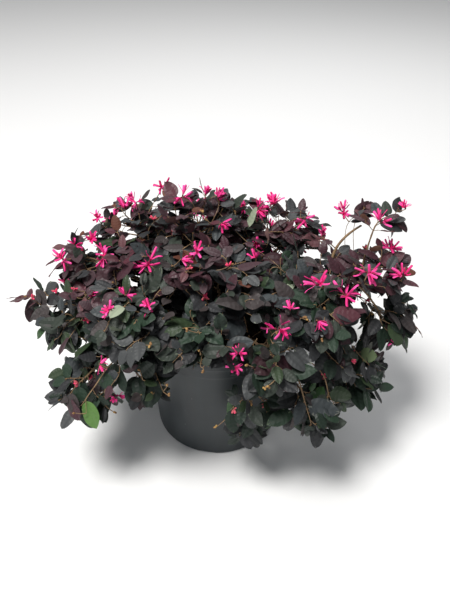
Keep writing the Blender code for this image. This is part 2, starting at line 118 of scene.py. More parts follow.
def leaf_material(name, rgb, rough, spec=0.5, sheen=0.0, vary=0.10, translucent=0.0):
    """Plain base colour, with a fine mottled roughness."""
    m = bpy.data.materials.new(name)
    m.use_nodes = True
    nt = m.node_tree
    b = nt.nodes["Principled BSDF"]
    b.inputs["Base Color"].default_value = (*rgb, 1.0)
    b.inputs["Specular IOR Level"].default_value = spec
    if sheen:
        b.inputs["Sheen Weight"].default_value = sheen
        b.inputs["Sheen Roughness"].default_value = 0.4
    tc = nt.nodes.new("ShaderNodeTexCoord")
    no = nt.nodes.new("ShaderNodeTexNoise")
    no.inputs["Scale"].default_value = 260.0
    no.inputs["Detail"].default_value = 3.0
    nt.links.new(tc.outputs["Object"], no.inputs["Vector"])
    mr = nt.nodes.new("ShaderNodeMapRange")
    mr.inputs["To Min"].default_value = rough - vary
    mr.inputs["To Max"].default_value = rough + vary
    nt.links.new(no.outputs["Fac"], mr.inputs["Value"])
    nt.links.new(mr.outputs["Result"], b.inputs["Roughness"])
    bp = nt.nodes.new("ShaderNodeBump")
    bp.inputs["Strength"].default_value = 0.12
    bp.inputs["Distance"].default_value = 0.0004
    nt.links.new(no.outputs["Fac"], bp.inputs["Height"])
    nt.links.new(bp.outputs["Normal"], b.inputs["Normal"])
    return m


def bark_material(name, light, dark, rough, scale=60.0):
    m = bpy.data.materials.new(name)
    m.use_nodes = True
    nt = m.node_tree
    b = nt.nodes["Principled BSDF"]
    tc = nt.nodes.new("ShaderNodeTexCoord")
    mp = nt.nodes.new("ShaderNodeMapping")
    mp.inputs["Scale"].default_value = (1.0, 1.0, 0.35)
    nt.links.new(tc.outputs["Object"], mp.inputs["Vector"])
    n1 = nt.nodes.new("ShaderNodeTexNoise")
    n1.inputs["Scale"].default_value = scale
    n1.inputs["Detail"].default_value = 6.0
    n1.inputs["Roughness"].default_value = 0.65
    nt.links.new(mp.outputs["Vector"], n1.inputs["Vector"])
    n2 = nt.nodes.new("ShaderNodeTexNoise")
    n2.inputs["Scale"].default_value = scale * 9.0
    n2.inputs["Detail"].default_value = 4.0
    nt.links.new(mp.outputs["Vector"], n2.inputs["Vector"])
    cr = nt.nodes.new("ShaderNodeValToRGB")
    cr.color_ramp.elements[0].position = 0.30
    cr.color_ramp.elements[0].color = (*dark, 1)
    cr.color_ramp.elements[1].position = 0.72
    cr.color_ramp.elements[1].color = (*light, 1)
    nt.links.new(n1.outputs["Fac"], cr.inputs["Fac"])
    nt.links.new(cr.outputs["Color"], b.inputs["Base Color"])
    mr = nt.nodes.new("ShaderNodeMapRange")
    mr.inputs["To Min"].default_value = rough - 0.12
    mr.inputs["To Max"].default_value = min(1.0, rough + 0.12)
    nt.links.new(n2.outputs["Fac"], mr.inputs["Value"])
    nt.links.new(mr.outputs["Result"], b.inputs["Roughness"])
    bp = nt.nodes.new("ShaderNodeBump")
    bp.inputs["Strength"].default_value = 0.5
    bp.inputs["Distance"].default_value = 0.0006
    nt.links.new(n2.outputs["Fac"], bp.inputs["Height"])
    nt.links.new(bp.outputs["Normal"], b.inputs["Normal"])
    return m


def pot_material():
    m = bpy.data.materials.new("pot_slate_plastic")
    m.use_nodes = True
    nt = m.node_tree
    b = nt.nodes["Principled BSDF"]
    tc = nt.nodes.new("ShaderNodeTexCoord")
    # tall thin vertical scuffs
    mp = nt.nodes.new("ShaderNodeMapping")
    mp.inputs["Scale"].default_value = (1.0, 1.0, 0.07)
    nt.links.new(tc.outputs["Object"], mp.inputs["Vector"])
    streak = nt.nodes.new("ShaderNodeTexNoise")
    streak.inputs["Scale"].default_value = 42.0
    streak.inputs["Detail"].default_value = 4.0
    nt.links.new(mp.outputs["Vector"], streak.inputs["Vector"])
    # broad clouding
    cloud = nt.nodes.new("ShaderNodeTexNoise")
    cloud.inputs["Scale"].default_value = 11.0
    cloud.inputs["Detail"].default_value = 3.0
    nt.links.new(tc.outputs["Object"], cloud.inputs["Vector"])
    # fine pale dust specks
    vor = nt.nodes.new("ShaderNodeTexVoronoi")
    vor.inputs["Scale"].default_value = 75.0
    vor.inputs["Randomness"].default_value = 1.0
    nt.links.new(tc.outputs["Object"], vor.inputs["Vector"])
    lt = nt.nodes.new("ShaderNodeMath"); lt.operation = 'LESS_THAN'
    lt.inputs[1].default_value = 0.055
    nt.links.new(vor.outputs["Distance"], lt.inputs[0])
    wn = nt.nodes.new("ShaderNodeSeparateColor")
    nt.links.new(vor.outputs["Color"], wn.inputs["Color"])
    gt = nt.nodes.new("ShaderNodeMath"); gt.operation = 'GREATER_THAN'
    gt.inputs[1].default_value = 0.80
    nt.links.new(wn.outputs["Red"], gt.inputs[0])
    sp = nt.nodes.new("ShaderNodeMath"); sp.operation = 'MULTIPLY'
    nt.links.new(lt.outputs[0], sp.inputs[0])
    nt.links.new(gt.outputs[0], sp.inputs[1])
    cr = nt.nodes.new("ShaderNodeValToRGB")
    cr.color_ramp.elements[0].position = 0.30
    cr.color_ramp.elements[0].color = (*srgb(34, 40, 44), 1)
    cr.color_ramp.elements[1].position = 0.70
    cr.color_ramp.elements[1].color = (*srgb(47, 54, 57), 1)
    nt.links.new(cloud.outputs["Fac"], cr.inputs["Fac"])
    mx = nt.nodes.new("ShaderNodeMix"); mx.data_type = 'RGBA'; mx.blend_type = 'MULTIPLY'
    mx.inputs["Factor"].default_value = 1.0
    sr = nt.nodes.new("ShaderNodeValToRGB")
    sr.color_ramp.elements[0].position = 0.35
    sr.color_ramp.elements[0].color = (0.74, 0.74, 0.74, 1)
    sr.color_ramp.elements[1].position = 0.68
    sr.color_ramp.elements[1].color = (1.10, 1.10, 1.09, 1)
    nt.links.new(streak.outputs["Fac"], sr.inputs["Fac"])
    nt.links.new(cr.outputs["Color"], mx.inputs["A"])
    nt.links.new(sr.outputs["Color"], mx.inputs["B"])
    m2 = nt.nodes.new("ShaderNodeMix"); m2.data_type = 'RGBA'
    nt.links.new(sp.outputs[0], m2.inputs["Factor"])
    nt.links.new(mx.outputs["Result"], m2.inputs["A"])
    m2.inputs["B"].default_value = (*srgb(150, 152, 148), 1)
    nt.links.new(m2.outputs["Result"], b.inputs["Base Color"])
    mr = nt.nodes.new("ShaderNodeMapRange")
    mr.inputs["To Min"].default_value = 0.36
    mr.inputs["To Max"].default_value = 0.56
    nt.links.new(streak.outputs["Fac"], mr.inputs["Value"])
    nt.links.new(mr.outputs["Result"], b.inputs["Roughness"])
    fine = nt.nodes.new("ShaderNodeTexNoise")
    fine.inputs["Scale"].default_value = 900.0
    nt.links.new(tc.outputs["Object"], fine.inputs["Vector"])
    bp = nt.nodes.new("ShaderNodeBump")
    bp.inputs["Strength"].default_value = 0.10
    bp.inputs["Distance"].default_value = 0.0003
    nt.links.new(fine.outputs["Fac"], bp.inputs["Height"])
    nt.links.new(bp.outputs["Normal"], b.inputs["Normal"])
    b.inputs["Specular IOR Level"].default_value = 0.45
    return m


# --------------------------------------------------------------------------
# Mesh helpers
# --------------------------------------------------------------------------
def mesh_object(name, verts, faces, mats, mat_index=None, smooth=True):
    """A joined mesh from arrays: verts (N, 3), faces (M, 3)."""
    me = bpy.data.meshes.new(name)
    verts = np.asarray(verts, np.float32)
    faces = np.asarray(faces, np.int32)
    me.vertices.add(len(verts))
    me.vertices.foreach_set("co", verts.ravel())
    me.loops.add(faces.size)
    me.loops.foreach_set("vertex_index", faces.ravel())
    me.polygons.add(len(faces))
    me.polygons.foreach_set("loop_start", np.arange(0, faces.size, 3, dtype=np.int32))
    if mat_index is not None:
        me.polygons.foreach_set("material_index", np.asarray(mat_index, np.int32))
    me.polygons.foreach_set("use_smooth", np.full(len(faces), smooth) if np.isscalar(smooth) else np.asarray(smooth, bool))
    for m in mats:
        me.materials.append(m)
    me.update(calc_edges=True)
    me.validate()
    ob = bpy.data.objects.new(name, me)
    bpy.context.scene.collection.objects.link(ob)
    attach(ob, "root")
    return ob


def unit(v):
    v = np.asarray(v, float)
    n = np.linalg.norm(v, axis=-1, keepdims=True)
    return v / np.maximum(n, 1e-9)


def tube_arrays(pts, radii, sides, cap=True, relief=None):
    """Vertices and triangles of a tapering tube along pts."""
    n = len(pts)
    tan = np.zeros_like(pts)
    tan[1:-1] = pts[2:] - pts[:-2]
    tan[0] = pts[1] - pts[0]
    tan[-1] = pts[-1] - pts[-2]
    tan = unit(tan)
    ref = np.array([0, 0, 1.0]) if abs(tan[0, 2]) < 0.9 else np.array([1.0, 0, 0])
    u = unit(np.cross(tan[0], ref))
    ang = np.arange(sides) * 2 * math.pi / sides
    V = np.zeros((n, sides, 3))
    for i in range(n):
        u = unit(u - tan[i] * (u @ tan[i]))
        v = np.cross(tan[i], u)
        rr = radii[i] * (np.ones(sides) if relief is None else relief[i])
        V[i] = pts[i] + (np.cos(ang) * rr)[:, None] * u + (np.sin(ang) * rr)[:, None] * v
    V = V.reshape(-1, 3)
    i = np.arange(n - 1)[:, None] * sides
    k = np.arange(sides)[None, :]
    j = (k + 1) % sides
    a, b, c, d = i + k, i + j, i + sides + j, i + sides + k
    F = np.concatenate([np.stack([a, b, c], -1).reshape(-1, 3), np.stack([a, c, d], -1).reshape(-1, 3)])
    if cap:
        base = len(V)
        V = np.vstack([V, pts[0] - tan[0] * radii[0] * 0.2, pts[-1] + tan[-1] * radii[-1] * 0.6])
        k = np.arange(sides)
        j = (k + 1) % sides
        F = np.vstack([F, np.stack([np.full(sides, base), j, k], 1),
                       np.stack([np.full(sides, base + 1), (n - 1) * sides + k, (n - 1) * sides + j], 1)])
    return V, F


class Pile:
    """Collects vertices, triangles and material numbers of one piece."""

    def __init__(self):
        self.v, self.f, self.m, self.n = [], [], [], 0

    def add(self, v, f, mat=0):
        self.v.append(v)
        self.f.append(np.asarray(f) + self.n)
        self.m.append(np.full(len(f), mat) if np.isscalar(mat) else np.asarray(mat))
        self.n += len(v)

    def count(self):
        return sum(len(f) for f in self.f)

    def arrays(self):
        return np.vstack(self.v), np.vstack(self.f), np.concatenate(self.m)


# --------------------------------------------------------------------------
# The limbs: the same paths as the solids, with the bark's relief
# --------------------------------------------------------------------------
MASS_AT = {  # direction (degrees), distance out, height, droop
    "mass_top_centre": (118, 0.056, 0.392), "mass_top_right": (36, 0.122, 0.370), "mass_top_left": (150, 0.172, 0.359),
    "mass_centre": (-90, 0.064, 0.358), "mass_right_shoulder": (-2, 0.246, 0.338), "mass_right_front": (-30, 0.182, 0.318),
    "mass_right_mid": (-30, 0.216, 0.250), "mass_front_right": (-60, 0.172, 0.270), "mass_front_centre": (-98, 0.146, 0.298),
    "mass_left_front": (-139, 0.166, 0.312), "mass_left_front_low": (-140, 0.206, 0.246), "mass_left_mid": (-168, 0.230, 0.270),
    "mass_left_upper": (169, 0.222, 0.330), "mass_back_left": (126, 0.200, 0.290), "mass_back_centre": (88, 0.176, 0.316),
    "mass_back_right": (46, 0.210, 0.302), "mass_side_right": (20, 0.262, 0.262),
}
BOUGHS = {
    "bough_top_centre": ("mass_top_centre", 135, "top", 0.000, 0.0055, 0.0030),
    "bough_top_right": ("mass_top_right", 45, "top", 0.002, 0.0052, 0.0028),
    "bough_top_left": ("mass_top_left", -160, "top", -0.006, 0.0052, 0.0026),
    "bough_centre": ("mass_centre", -75, "top", 0.000, 0.0050, 0.0028),
    "bough_right_shoulder": ("mass_right_shoulder", 4, 0.250, -0.010, 0.0052, 0.0022),
    "bough_right_front": ("mass_right_front", -28, 0.241, 0.002, 0.0048, 0.0024),
    "bough_right_mid": ("mass_right_mid", -44, 0.252, 0.012, 0.0042, 0.0022),
    "bough_front_right": ("mass_front_right", -70, 0.240, 0.010, 0.0044, 0.0022),
    "bough_front_centre": ("mass_front_centre", -96, 0.252, 0.004, 0.0044, 0.0024),
    "bough_left_front": ("mass_left_front", -124, 0.241, 0.002, 0.0048, 0.0024),
    "bough_left_low": ("mass_left_front_low", -148, 0.252, 0.008, 0.0042, 0.0022),
    "bough_left_mid": ("mass_left_mid", -176, 0.241, 0.008, 0.0050, 0.0024),
    "bough_left_upper": ("mass_left_upper", 158, 0.250, -0.008, 0.0050, 0.0024),
    "bough_back_left": ("mass_back_left", 122, 0.241, 0.006, 0.0046, 0.0024),
    "bough_back_centre": ("mass_back_centre", 92, 0.250, 0.002, 0.0050, 0.0026),
    "bough_back_right": ("mass_back_right", 62, 0.241, 0.006, 0.0048, 0.0024),
    "bough_side_right": ("mass_side_right", 32, 0.249, 0.004, 0.0044, 0.0022),
}
BOUGH_WOBBLE = 0.0016


def polar(az, out, up):
    a = math.radians(az)
    return Vector((out * math.cos(a), out * math.sin(a), up))


def stem_axis(z):
    f = (z - SOIL_TOP) / (STEM_TOP - SOIL_TOP)
    return Vector((STEM_LEAN[0] * f, STEM_LEAN[1] * f, z))


def bough_path(spec, steps=40):
    mass, start_az, rise, arch, _, _ = spec
    end = polar(*MASS_AT[mass])
    if rise == "top":
        start = stem_axis(STEM_TOP) + polar(start_az, 0.0088, 0.0)
        out = polar(start_az, 0.020, 0.035)
    else:
        start = stem_axis(rise) + polar(start_az, STEM_R * 0.80, 0.0)
        out = polar(start_az, 0.040, 0.010)
    c1 = start + out
    mid = (start + end) * 0.5
    c2 = mid + Vector((0, 0, arch * 2.0)) + (end - start) * 0.12
    rng = random.Random(mass)
    ph = rng.uniform(0, 6.28)
    side = (end - start).cross(Vector((0, 0, 1))).normalized()
    pts = []
    for i in range(steps + 1):
        t = i / steps
        p = (start * (1 - t) ** 3 + c1 * (3 * t * (1 - t) ** 2) + c2 * (3 * t * t * (1 - t)) + end * t ** 3)
        pts.append(p + side * (BOUGH_WOBBLE * math.sin(math.pi * t) * math.sin(9.0 * t + ph)))
    return pts


def bvh_of(name):
    me = NODES[name].data
    me.calc_loop_triangles()
    vs = [v.co.copy() for v in me.vertices]
    ts = [tuple(t.vertices) for t in me.loop_triangles]
    return BVHTree.FromPolygons(vs, ts)


MASS_NAMES = sorted(n for n in NODES if n.startswith("mass_"))
MASS_BVH = {n: bvh_of(n) for n in MASS_NAMES}
MASS_CENTRE = {}
for n in MASS_NAMES:
    lo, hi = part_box(n)
    MASS_CENTRE[n] = (lo + hi) * 0.5


def depth_inside(p, name):
    """Distance inside a mass's surface (negative outside)."""
    hit, normal, _, dist = MASS_BVH[name].find_nearest(p)
    return -dist if (p - hit).dot(normal) > 0 else dist


def resample(pts, n):
    pts = np.asarray(pts, float)
    seg = np.r_[0, np.cumsum(np.linalg.norm(np.diff(pts, axis=0), axis=1))]
    s = np.linspace(0, seg[-1], n)
    return np.stack([np.interp(s, seg, pts[:, k]) for k in range(3)], 1)


def bark_relief(n, sides, seed, depth=0.10):
    """Long shallow fissures and slight swellings, as radius factors."""
    r = np.random.default_rng(seed)
    ang = np.arange(sides) * 2 * math.pi / sides
    out = np.ones((n, sides))
    s = np.linspace(0, 1, n)
    for k in (3, 5, 8):
        ph = r.uniform(0, 6.28)
        tw = r.uniform(-1.5, 1.5)
        out += (depth / k * 2.2) * np.cos(k * ang[None, :] + ph + tw * s[:, None] * 3.0) * (0.6 + 0.4 * np.cos(9 * s[:, None] + ph))
    out += r.normal(0, depth * 0.22, (n, sides))
    out += 0.07 * np.maximum(0, np.cos(2 * math.pi * s[:, None] * (3 + seed % 3) + seed)) ** 6
    return out


LIMB_ENDS = []           # (point, direction, radius) where growth goes on
bark = Pile()
STEM_OB = NODES["stem"]
for bi, (bname, spec) in enumerate(BOUGHS.items()):
    path = bough_path(spec)
    tree = bvh_of(bname)
    keep = [i for i, p in enumerate(path) if tree.find_nearest(p)[3] < spec[4] + 0.0012
            or (tree.find_nearest(p)[0] - p).length < spec[4]]
    a, b = min(keep), max(keep)
    # run the visible limb on a little, into the stem and into the mass
    a2, b2 = max(0, a - 1), min(len(path) - 1, b + 3)
    pts = resample([list(p) for p in path[a2:b2 + 1]], 46)
    rad = np.linspace(spec[4], spec[5], len(pts)) * 0.97
    V, F = tube_arrays(pts, rad, 14, True, bark_relief(len(pts), 14, bi + 1))
    bark.add(V, F)
    LIMB_ENDS.append((pts[-1], unit(pts[-1] - pts[-4]), spec[5]))
    for fr in (0.40, 0.66, 0.84):
        k = int(fr * (len(pts) - 1))
        turn = (-1) ** (bi + int(fr * 100))
        d = unit(pts[k + 1] - pts[k])
        LIMB_ENDS.append((pts[k], unit(d + np.array([-d[1] * turn, d[0] * turn, 0.7])), spec[5] * 0.6))

# the short stem with its flare
zs = np.linspace(SOIL_TOP + SOIL_CROWN - 0.002, STEM_TOP + 0.001, 34)
pts = np.array([list(stem_axis(z)) for z in zs])
f = np.clip((zs - SOIL_TOP) / (STEM_TOP - SOIL_TOP), 0, 1)
rad = (STEM_R + (STEM_FLARE_R - STEM_R) * (1 - f) ** 3) * 0.985
V, F = tube_arrays(pts, rad, 40, True, bark_relief(len(pts), 40, 77, 0.16))
bark.add(V, F)

# --------------------------------------------------------------------------
# Growth: shoots are drawn step by step towards free space in the masses
# --------------------------------------------------------------------------
STEP = 0.0078
REACH = 0.060
NEAR = 0.0150

# What the photo shows as sky stays free of growth: ellipses in photo pixels
# (centre, half width, half height).
GAPS = [(355, 238, 15, 5.5), (338, 237, 6, 10), (311, 253, 8, 5), (90, 246, 7, 3.5), (365, 298, 5, 4), (275, 250, 7, 2.5),
        (385, 275, 6, 2.5), (342, 309, 5, 2.5), (271, 219, 2.5, 4), (351, 227, 4, 3.5), (199, 218, 3.5, 3.5), (379, 300, 3.5, 3.5),
        (124, 227, 4, 3), (336, 249, 3, 2.5), (131, 234, 2.5, 3.5), (176, 213, 3, 2.5), (129, 215, 2.5, 2.5), (120, 214, 3, 2),
        (220, 215, 2.5, 2.5), (281, 218, 4, 2), (302, 226, 2, 2.5), (48, 312, 2.5, 1.5)]
# Dark hollows, where the front layer of leaves is open and the inside shows
HOLLOWS = [(180, 304, 9, 12), (216, 287, 9, 8), (251, 327, 9, 6), (134, 281, 7, 7), (240, 293, 5, 3), (150, 279, 4, 3),
           (232, 327, 4, 4), (262, 341, 6, 5), (296, 286, 4, 3)]
# The bare front of the pot (x0, y0, x1, y1)
BARE_POT = [(172, 376, 221, 416), (172, 416, 207, 452), (154, 403, 173, 446), (180, 371, 218, 377)]


def in_gap(pix, grow=0.0):
    bad = np.zeros(pix.shape[:-1], bool)
    for cx, cy, rx, ry in GAPS:
        bad |= ((pix[..., 0] - cx) / (rx + grow)) ** 2 + ((pix[..., 1] - cy) / (ry + grow)) ** 2 < 1.0
    return bad


def in_hollow(pix, grow=0.0):
    bad = np.zeros(pix.shape[:-1], bool)
    for cx, cy, rx, ry in HOLLOWS:
        bad |= ((pix[..., 0] - cx) / (rx + grow)) ** 2 + ((pix[..., 1] - cy) / (ry + grow)) ** 2 < 1.0
    return bad


def on_bare_pot(pix, grow=0.0):
    bad = np.zeros(pix.shape[:-1], bool)
    for x0, y0, x1, y1 in BARE_POT:
        bad |= (pix[..., 0] > x0 - grow) & (pix[..., 0] < x1 + grow) & (pix[..., 1] > y0 - grow) & (pix[..., 1] < y1 + grow)
    return bad


att = []
for n in MASS_NAMES:
    lo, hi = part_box(n)
    vol = (hi.x - lo.x) * (hi.y - lo.y) * (hi.z - lo.z)
    tries = int(vol * 0.9e6)
    got = 0
    for k in range(tries):
        p = Vector((RNG.uniform(lo.x, hi.x), RNG.uniform(lo.y, hi.y), RNG.uniform(lo.z, hi.z)))
        d = depth_inside(p, n)
        if d > 0.0055:
            att.append((p.x, p.y, p.z))
# the inside of the crown, between the masses
for k in range(5200):
    q = RNG.uniform(-1, 1, 3)
    if q @ q > 1:
        continue
    q = q * np.array([0.235, 0.170, 0.070]) + np.array([0.0, 0.01, 0.318])
    if q[2] < 0.262 and math.hypot(q[0], q[1]) < 0.08:
        continue
    att.append(tuple(q))
ATT = np.array(att)
pix, dep = project(ATT)
ATT = ATT[~(in_gap(pix, 2.0) | (in_hollow(pix) & (ATT[:, 1] < 0.02)) | (on_bare_pot(pix) & (ATT[:, 1] < 0)))]


def grow_tree(ends, att):
    P = [np.asarray(e[0], float) for e in ends]
    D = [np.asarray(e[1], float) for e in ends]
    parent = [-1] * len(P)
    kids = [0] * len(P)
    A = att.copy()
    pos = np.array(P)
    d2 = np.linalg.norm(A[:, None, :] - pos[None], axis=2)
    near = d2.argmin(1)
    dist = d2.min(1)
    alive = dist > NEAR
    A, near, dist = A[alive], near[alive], dist[alive]
    rng = np.random.default_rng(7)
    for it in range(400):
        act = dist < REACH
        if not act.any():
            # let the nearest end reach further so that no mass is left out
            act = dist < dist.min() + 0.01 if len(dist) else act
            if not len(dist):
                break
        order = np.unique(near[act])
        new_p, new_par = [], []
        for i in order:
            sel = act & (near == i)
            if kids[i] >= 3:
                dist[sel] = 9.0
                continue
            v = unit(A[sel] - P[i]).mean(0)
            if np.linalg.norm(v) < 1e-3:
                v = rng.normal(size=3)
            v = unit(unit(v) + 0.55 * D[i] + rng.normal(0, 0.16, 3) + np.array([0, 0, 0.05]))
            q = P[i] + v * STEP
            new_p.append(q)
            new_par.append(i)
        if not new_p:
            if (dist > 8).all():
                break
            continue
        base = len(P)
        for q, i in zip(new_p, new_par):
            P.append(q)
            D.append(unit(q - P[i]))
            parent.append(i)
            kids.append(0)
            kids[i] += 1
        Q = np.array(new_p)
        dn = np.linalg.norm(A[:, None, :] - Q[None], axis=2)
        k = dn.argmin(1)
        m = dn.min(1)
        better = m < dist
        near[better] = k[better] + base
        dist[better] = m[better]
        live = dist > NEAR
        live &= dist < 8.5
        A, near, dist = A[live], near[live], dist[live]
        if not len(A) or len(P) > 9000:
            break
    return np.array(P), np.array(parent)


P, PARENT = grow_tree(LIMB_ENDS, ATT)
N = len(P)
children = [[] for _ in range(N)]
for i, q in enumerate(PARENT):
    if q >= 0:
        children[q].append(i)
to_tip = np.zeros(N)
tips = np.zeros(N)
for i in range(N - 1, -1, -1):
    if not children[i]:
        tips[i] = 1
    for c in children[i]:
        to_tip[i] = max(to_tip[i], to_tip[c] + STEP)
        tips[i] += tips[c]

# chains: each runs on along the child that carries most
chains = []
stack = [(i, -1) for i in range(len(LIMB_ENDS))]
while stack:
    i, par = stack.pop()
    chain = [i] if par < 0 else [par, i]
    while children[i]:
        cs = sorted(children[i], key=lambda c: (-tips[c], -to_tip[c]))
        for c in cs[1:]:
            stack.append((c, i))
        i = cs[0]
        chain.append(i)
    chains.append(chain)

# relax the kinks
for _ in range(3):
    Q = P.copy()
    for i in range(N):
        if PARENT[i] >= 0 and children[i]:
            c = max(children[i], key=lambda c: tips[c])
            Q[i] = P[i] * 0.5 + (P[PARENT[i]] + P[c]) * 0.25
    P = Q
RAD = 0.00048 * np.power(tips, 0.44)
RAD = np.minimum(RAD, 0.0022)

twigs = Pile()
for ci, chain in enumerate(chains):
    if len(chain) < 2:
        continue
    pts = P[chain]
    r = RAD[chain].copy()
    if PARENT[chain[0]] >= 0 or ci >= len(LIMB_ENDS):
        r[0] = r[1]
    r = r * (1.0 + 0.22 * (np.arange(len(r)) % 2))       # the nodes stand out a little
    V, F = tube_arrays(pts, r, 6 if r[0] > 0.0010 else 5)
    twigs.add(V, F)

# --------------------------------------------------------------------------
# Leaves
# --------------------------------------------------------------------------
LEAF_N = 12


def leaf_template():
    """Grid of an ovate leaf: thirteen stations by five columns on the upper
    side, seven by three on the underside."""
    t = np.linspace(0, 1, LEAF_N + 1)
    tb = np.linspace(0, 1, LEAF_N // 2 + 1)
    up_u = np.array([-1, -0.5, 0, 0.5, 1.0])
    lo_u = np.array([-1, 0, 1.0])
    T = np.concatenate([np.repeat(t, 5), np.repeat(tb, 3)])
    U = np.concatenate([np.tile(up_u, len(t)), np.tile(lo_u, len(tb))])
    under = np.concatenate([np.zeros(5 * len(t)), np.ones(3 * len(tb))])
    F, M = [], []
    for i in range(LEAF_N):
        for k in range(4):
            a, b, c, d = i * 5 + k, i * 5 + k + 1, (i + 1) * 5 + k + 1, (i + 1) * 5 + k
            if k < 2:      # diagonals follow the side veins, forward and out
                tris = [(a, b, d), (b, c, d)]
            else:
                tris = [(a, b, c), (a, c, d)]
            F += tris
            M += [0, 0]
    o = 5 * len(t)
    for i in range(len(tb) - 1):
        for k in range(2):
            a, b, c, d = o + i * 3 + k, o + i * 3 + k + 1, o + (i + 1) * 3 + k + 1, o + (i + 1) * 3 + k
            F += [(a, c, b), (a, d, c)]
            M += [1, 1]
    F, M = np.array(F), np.array(M)
    keep = []
    for fi, f in enumerate(F):        # the blade closes to a point at both ends
        w = [(round(T[v], 6), round(U[v] * (0 if T[v] in (0.0, 1.0) else 1), 6)) for v in f]
        keep.append(len(set(w)) == 3)
    return T, U, under, F[keep], M[keep]


LT, LU, LUNDER, LF, LM = leaf_template()


def build_leaves(base, axis, normal, length, width, fold, curl, twist, wave, broad):
    """All leaves at once: arrays (n, ...) to vertices (n, k, 3)."""
    t = LT[None, :]
    u = LU[None, :]
    L = length[:, None]
    W = width[:, None] * 0.5
    b = broad[:, None]                       # where the blade is widest
    ka = 0.54
    ke = ka / b * (1 - b)
    prof = np.power(t, ka) * np.power(1 - t, ke) / (np.power(b, ka) * np.power(1 - b, ke))
    w = W * np.where((t <= 0) | (t >= 1), 0.0, prof)
    x = t * L
    y = u * w
    # side veins: ridges that run forward and out, the blade quilted between
    veins = 0.5 + 0.5 * np.cos(2 * math.pi * (LEAF_N / 2) * (t - np.abs(u) * 2.0 / LEAF_N))
    relief = 0.011 * L * veins * np.where(np.abs(u) > 0.9, 0.25, 1.0) * np.where(np.abs(u) < 0.1, 0.0, 1.0)
    relief = relief * np.sin(math.pi * np.clip(t, 0, 1)) ** 0.5
    z = np.abs(y) * fold[:, None] - (y * y) / np.maximum(W, 1e-5) * 0.30
    z = z + relief * (1 - LUNDER)[None, :] + wave[:, None] * np.sin(2 * math.pi * (t * 1.5 + 0.25 * np.sign(u))) * np.abs(u) * W
    z = z - 0.00030 * LUNDER[None, :] * (np.abs(u) < 0.95)
    # bend along the length
    a = curl[:, None] * t
    safe = np.where(np.abs(curl[:, None]) < 1e-3, 1.0, curl[:, None])
    xb = np.where(np.abs(curl[:, None]) < 1e-3, x, L * np.sin(a) / safe)
    zb = np.where(np.abs(curl[:, None]) < 1e-3, 0, -L * (1 - np.cos(a)) / safe)
    ca, sa = np.cos(a), np.sin(a)
    X = xb + z * sa
    Z = zb + z * ca
    tw = twist[:, None] * t
    Y2 = y * np.cos(tw) - (Z - zb) * np.sin(tw)
    Z2 = zb + y * np.sin(tw) + (Z - zb) * np.cos(tw)
    side = unit(np.cross(normal, axis))
    nrm = unit(np.cross(axis, side))
    return (base[:, None, :] + X[..., None] * axis[:, None, :] + Y2[..., None] * side[:, None, :] + Z2[..., None] * nrm[:, None, :])


# Colours, dealt out by spray: (name, upper side, underside, roughness)
def tones(*rows):
    return [(n, srgb(*a), srgb(*b), r) for n, a, b, r in rows]


TONES = {
    "charcoal": tones(("ash", (66, 68, 69), (128, 134, 120), 0.44), ("slate", (54, 59, 61), (98, 100, 94), 0.42),
                      ("umber", (59, 53, 53), (106, 94, 92), 0.46), ("dusk", (46, 47, 49), (86, 86, 84), 0.44),
                      # the last charcoal tone is a near-black painted shade for shaded leaves inside the crown
                      ("moss", (50, 57, 50), (96, 104, 88), 0.44), ("painted_shade_black", (31, 33, 34), (62, 66, 62), 0.40)),
    "plum": tones(("wine", (80, 44, 52), (114, 80, 86), 0.40), ("plum", (68, 43, 50), (100, 74, 80), 0.38),
                  ("mulberry", (68, 50, 55), (120, 100, 98), 0.38), ("rose_brown", (97, 64, 68), (138, 108, 104), 0.42),
                  ("maroon", (54, 33, 38), (92, 66, 70), 0.38), ("rust", (97, 59, 47), (138, 100, 84), 0.42), ("garnet", (112, 34, 32), (130, 60, 56), 0.42),
                  ("mauve", (150, 100, 110), (160, 116, 120), 0.50)),
    "green": tones(("bottle", (37, 54, 41), (84, 98, 76), 0.46), ("olive", (49, 63, 43), (98, 112, 82), 0.38),
                   ("leafgreen", (50, 77, 45), (108, 128, 88), 0.38), ("fresh", (84, 118, 60), (124, 146, 98), 0.40),
                   ("deep", (29, 41, 33), (74, 86, 68), 0.38), ("sage", (146, 156, 134), (156, 166, 146), 0.50), ("pale", (100, 120, 82), (124, 140, 100), 0.44)),
}
MATS = {}
for fam, rows in TONES.items():
    MATS[fam] = []
    for n, a, b, r in rows:
        MATS[fam].append(leaf_material("leaf_" + n, a, r + 0.10, 0.32))
    for n, a, b, r in rows:
        MATS[fam].append(leaf_material("underleaf_" + n, b, 0.62, 0.3))
petiole_mat = leaf_material("petiole", srgb(150, 118, 84), 0.6, 0.3)

leaf_rows = []            # base, axis, normal, length, twig node
rng = np.random.default_rng(31)
CENTRE = np.array([0.0, 0.0, 0.24])


def outward(p):
    v = p - np.array([0, 0, 0.20])
    v = v / np.array([1.35, 1.0, 1.0])
    return unit(v)


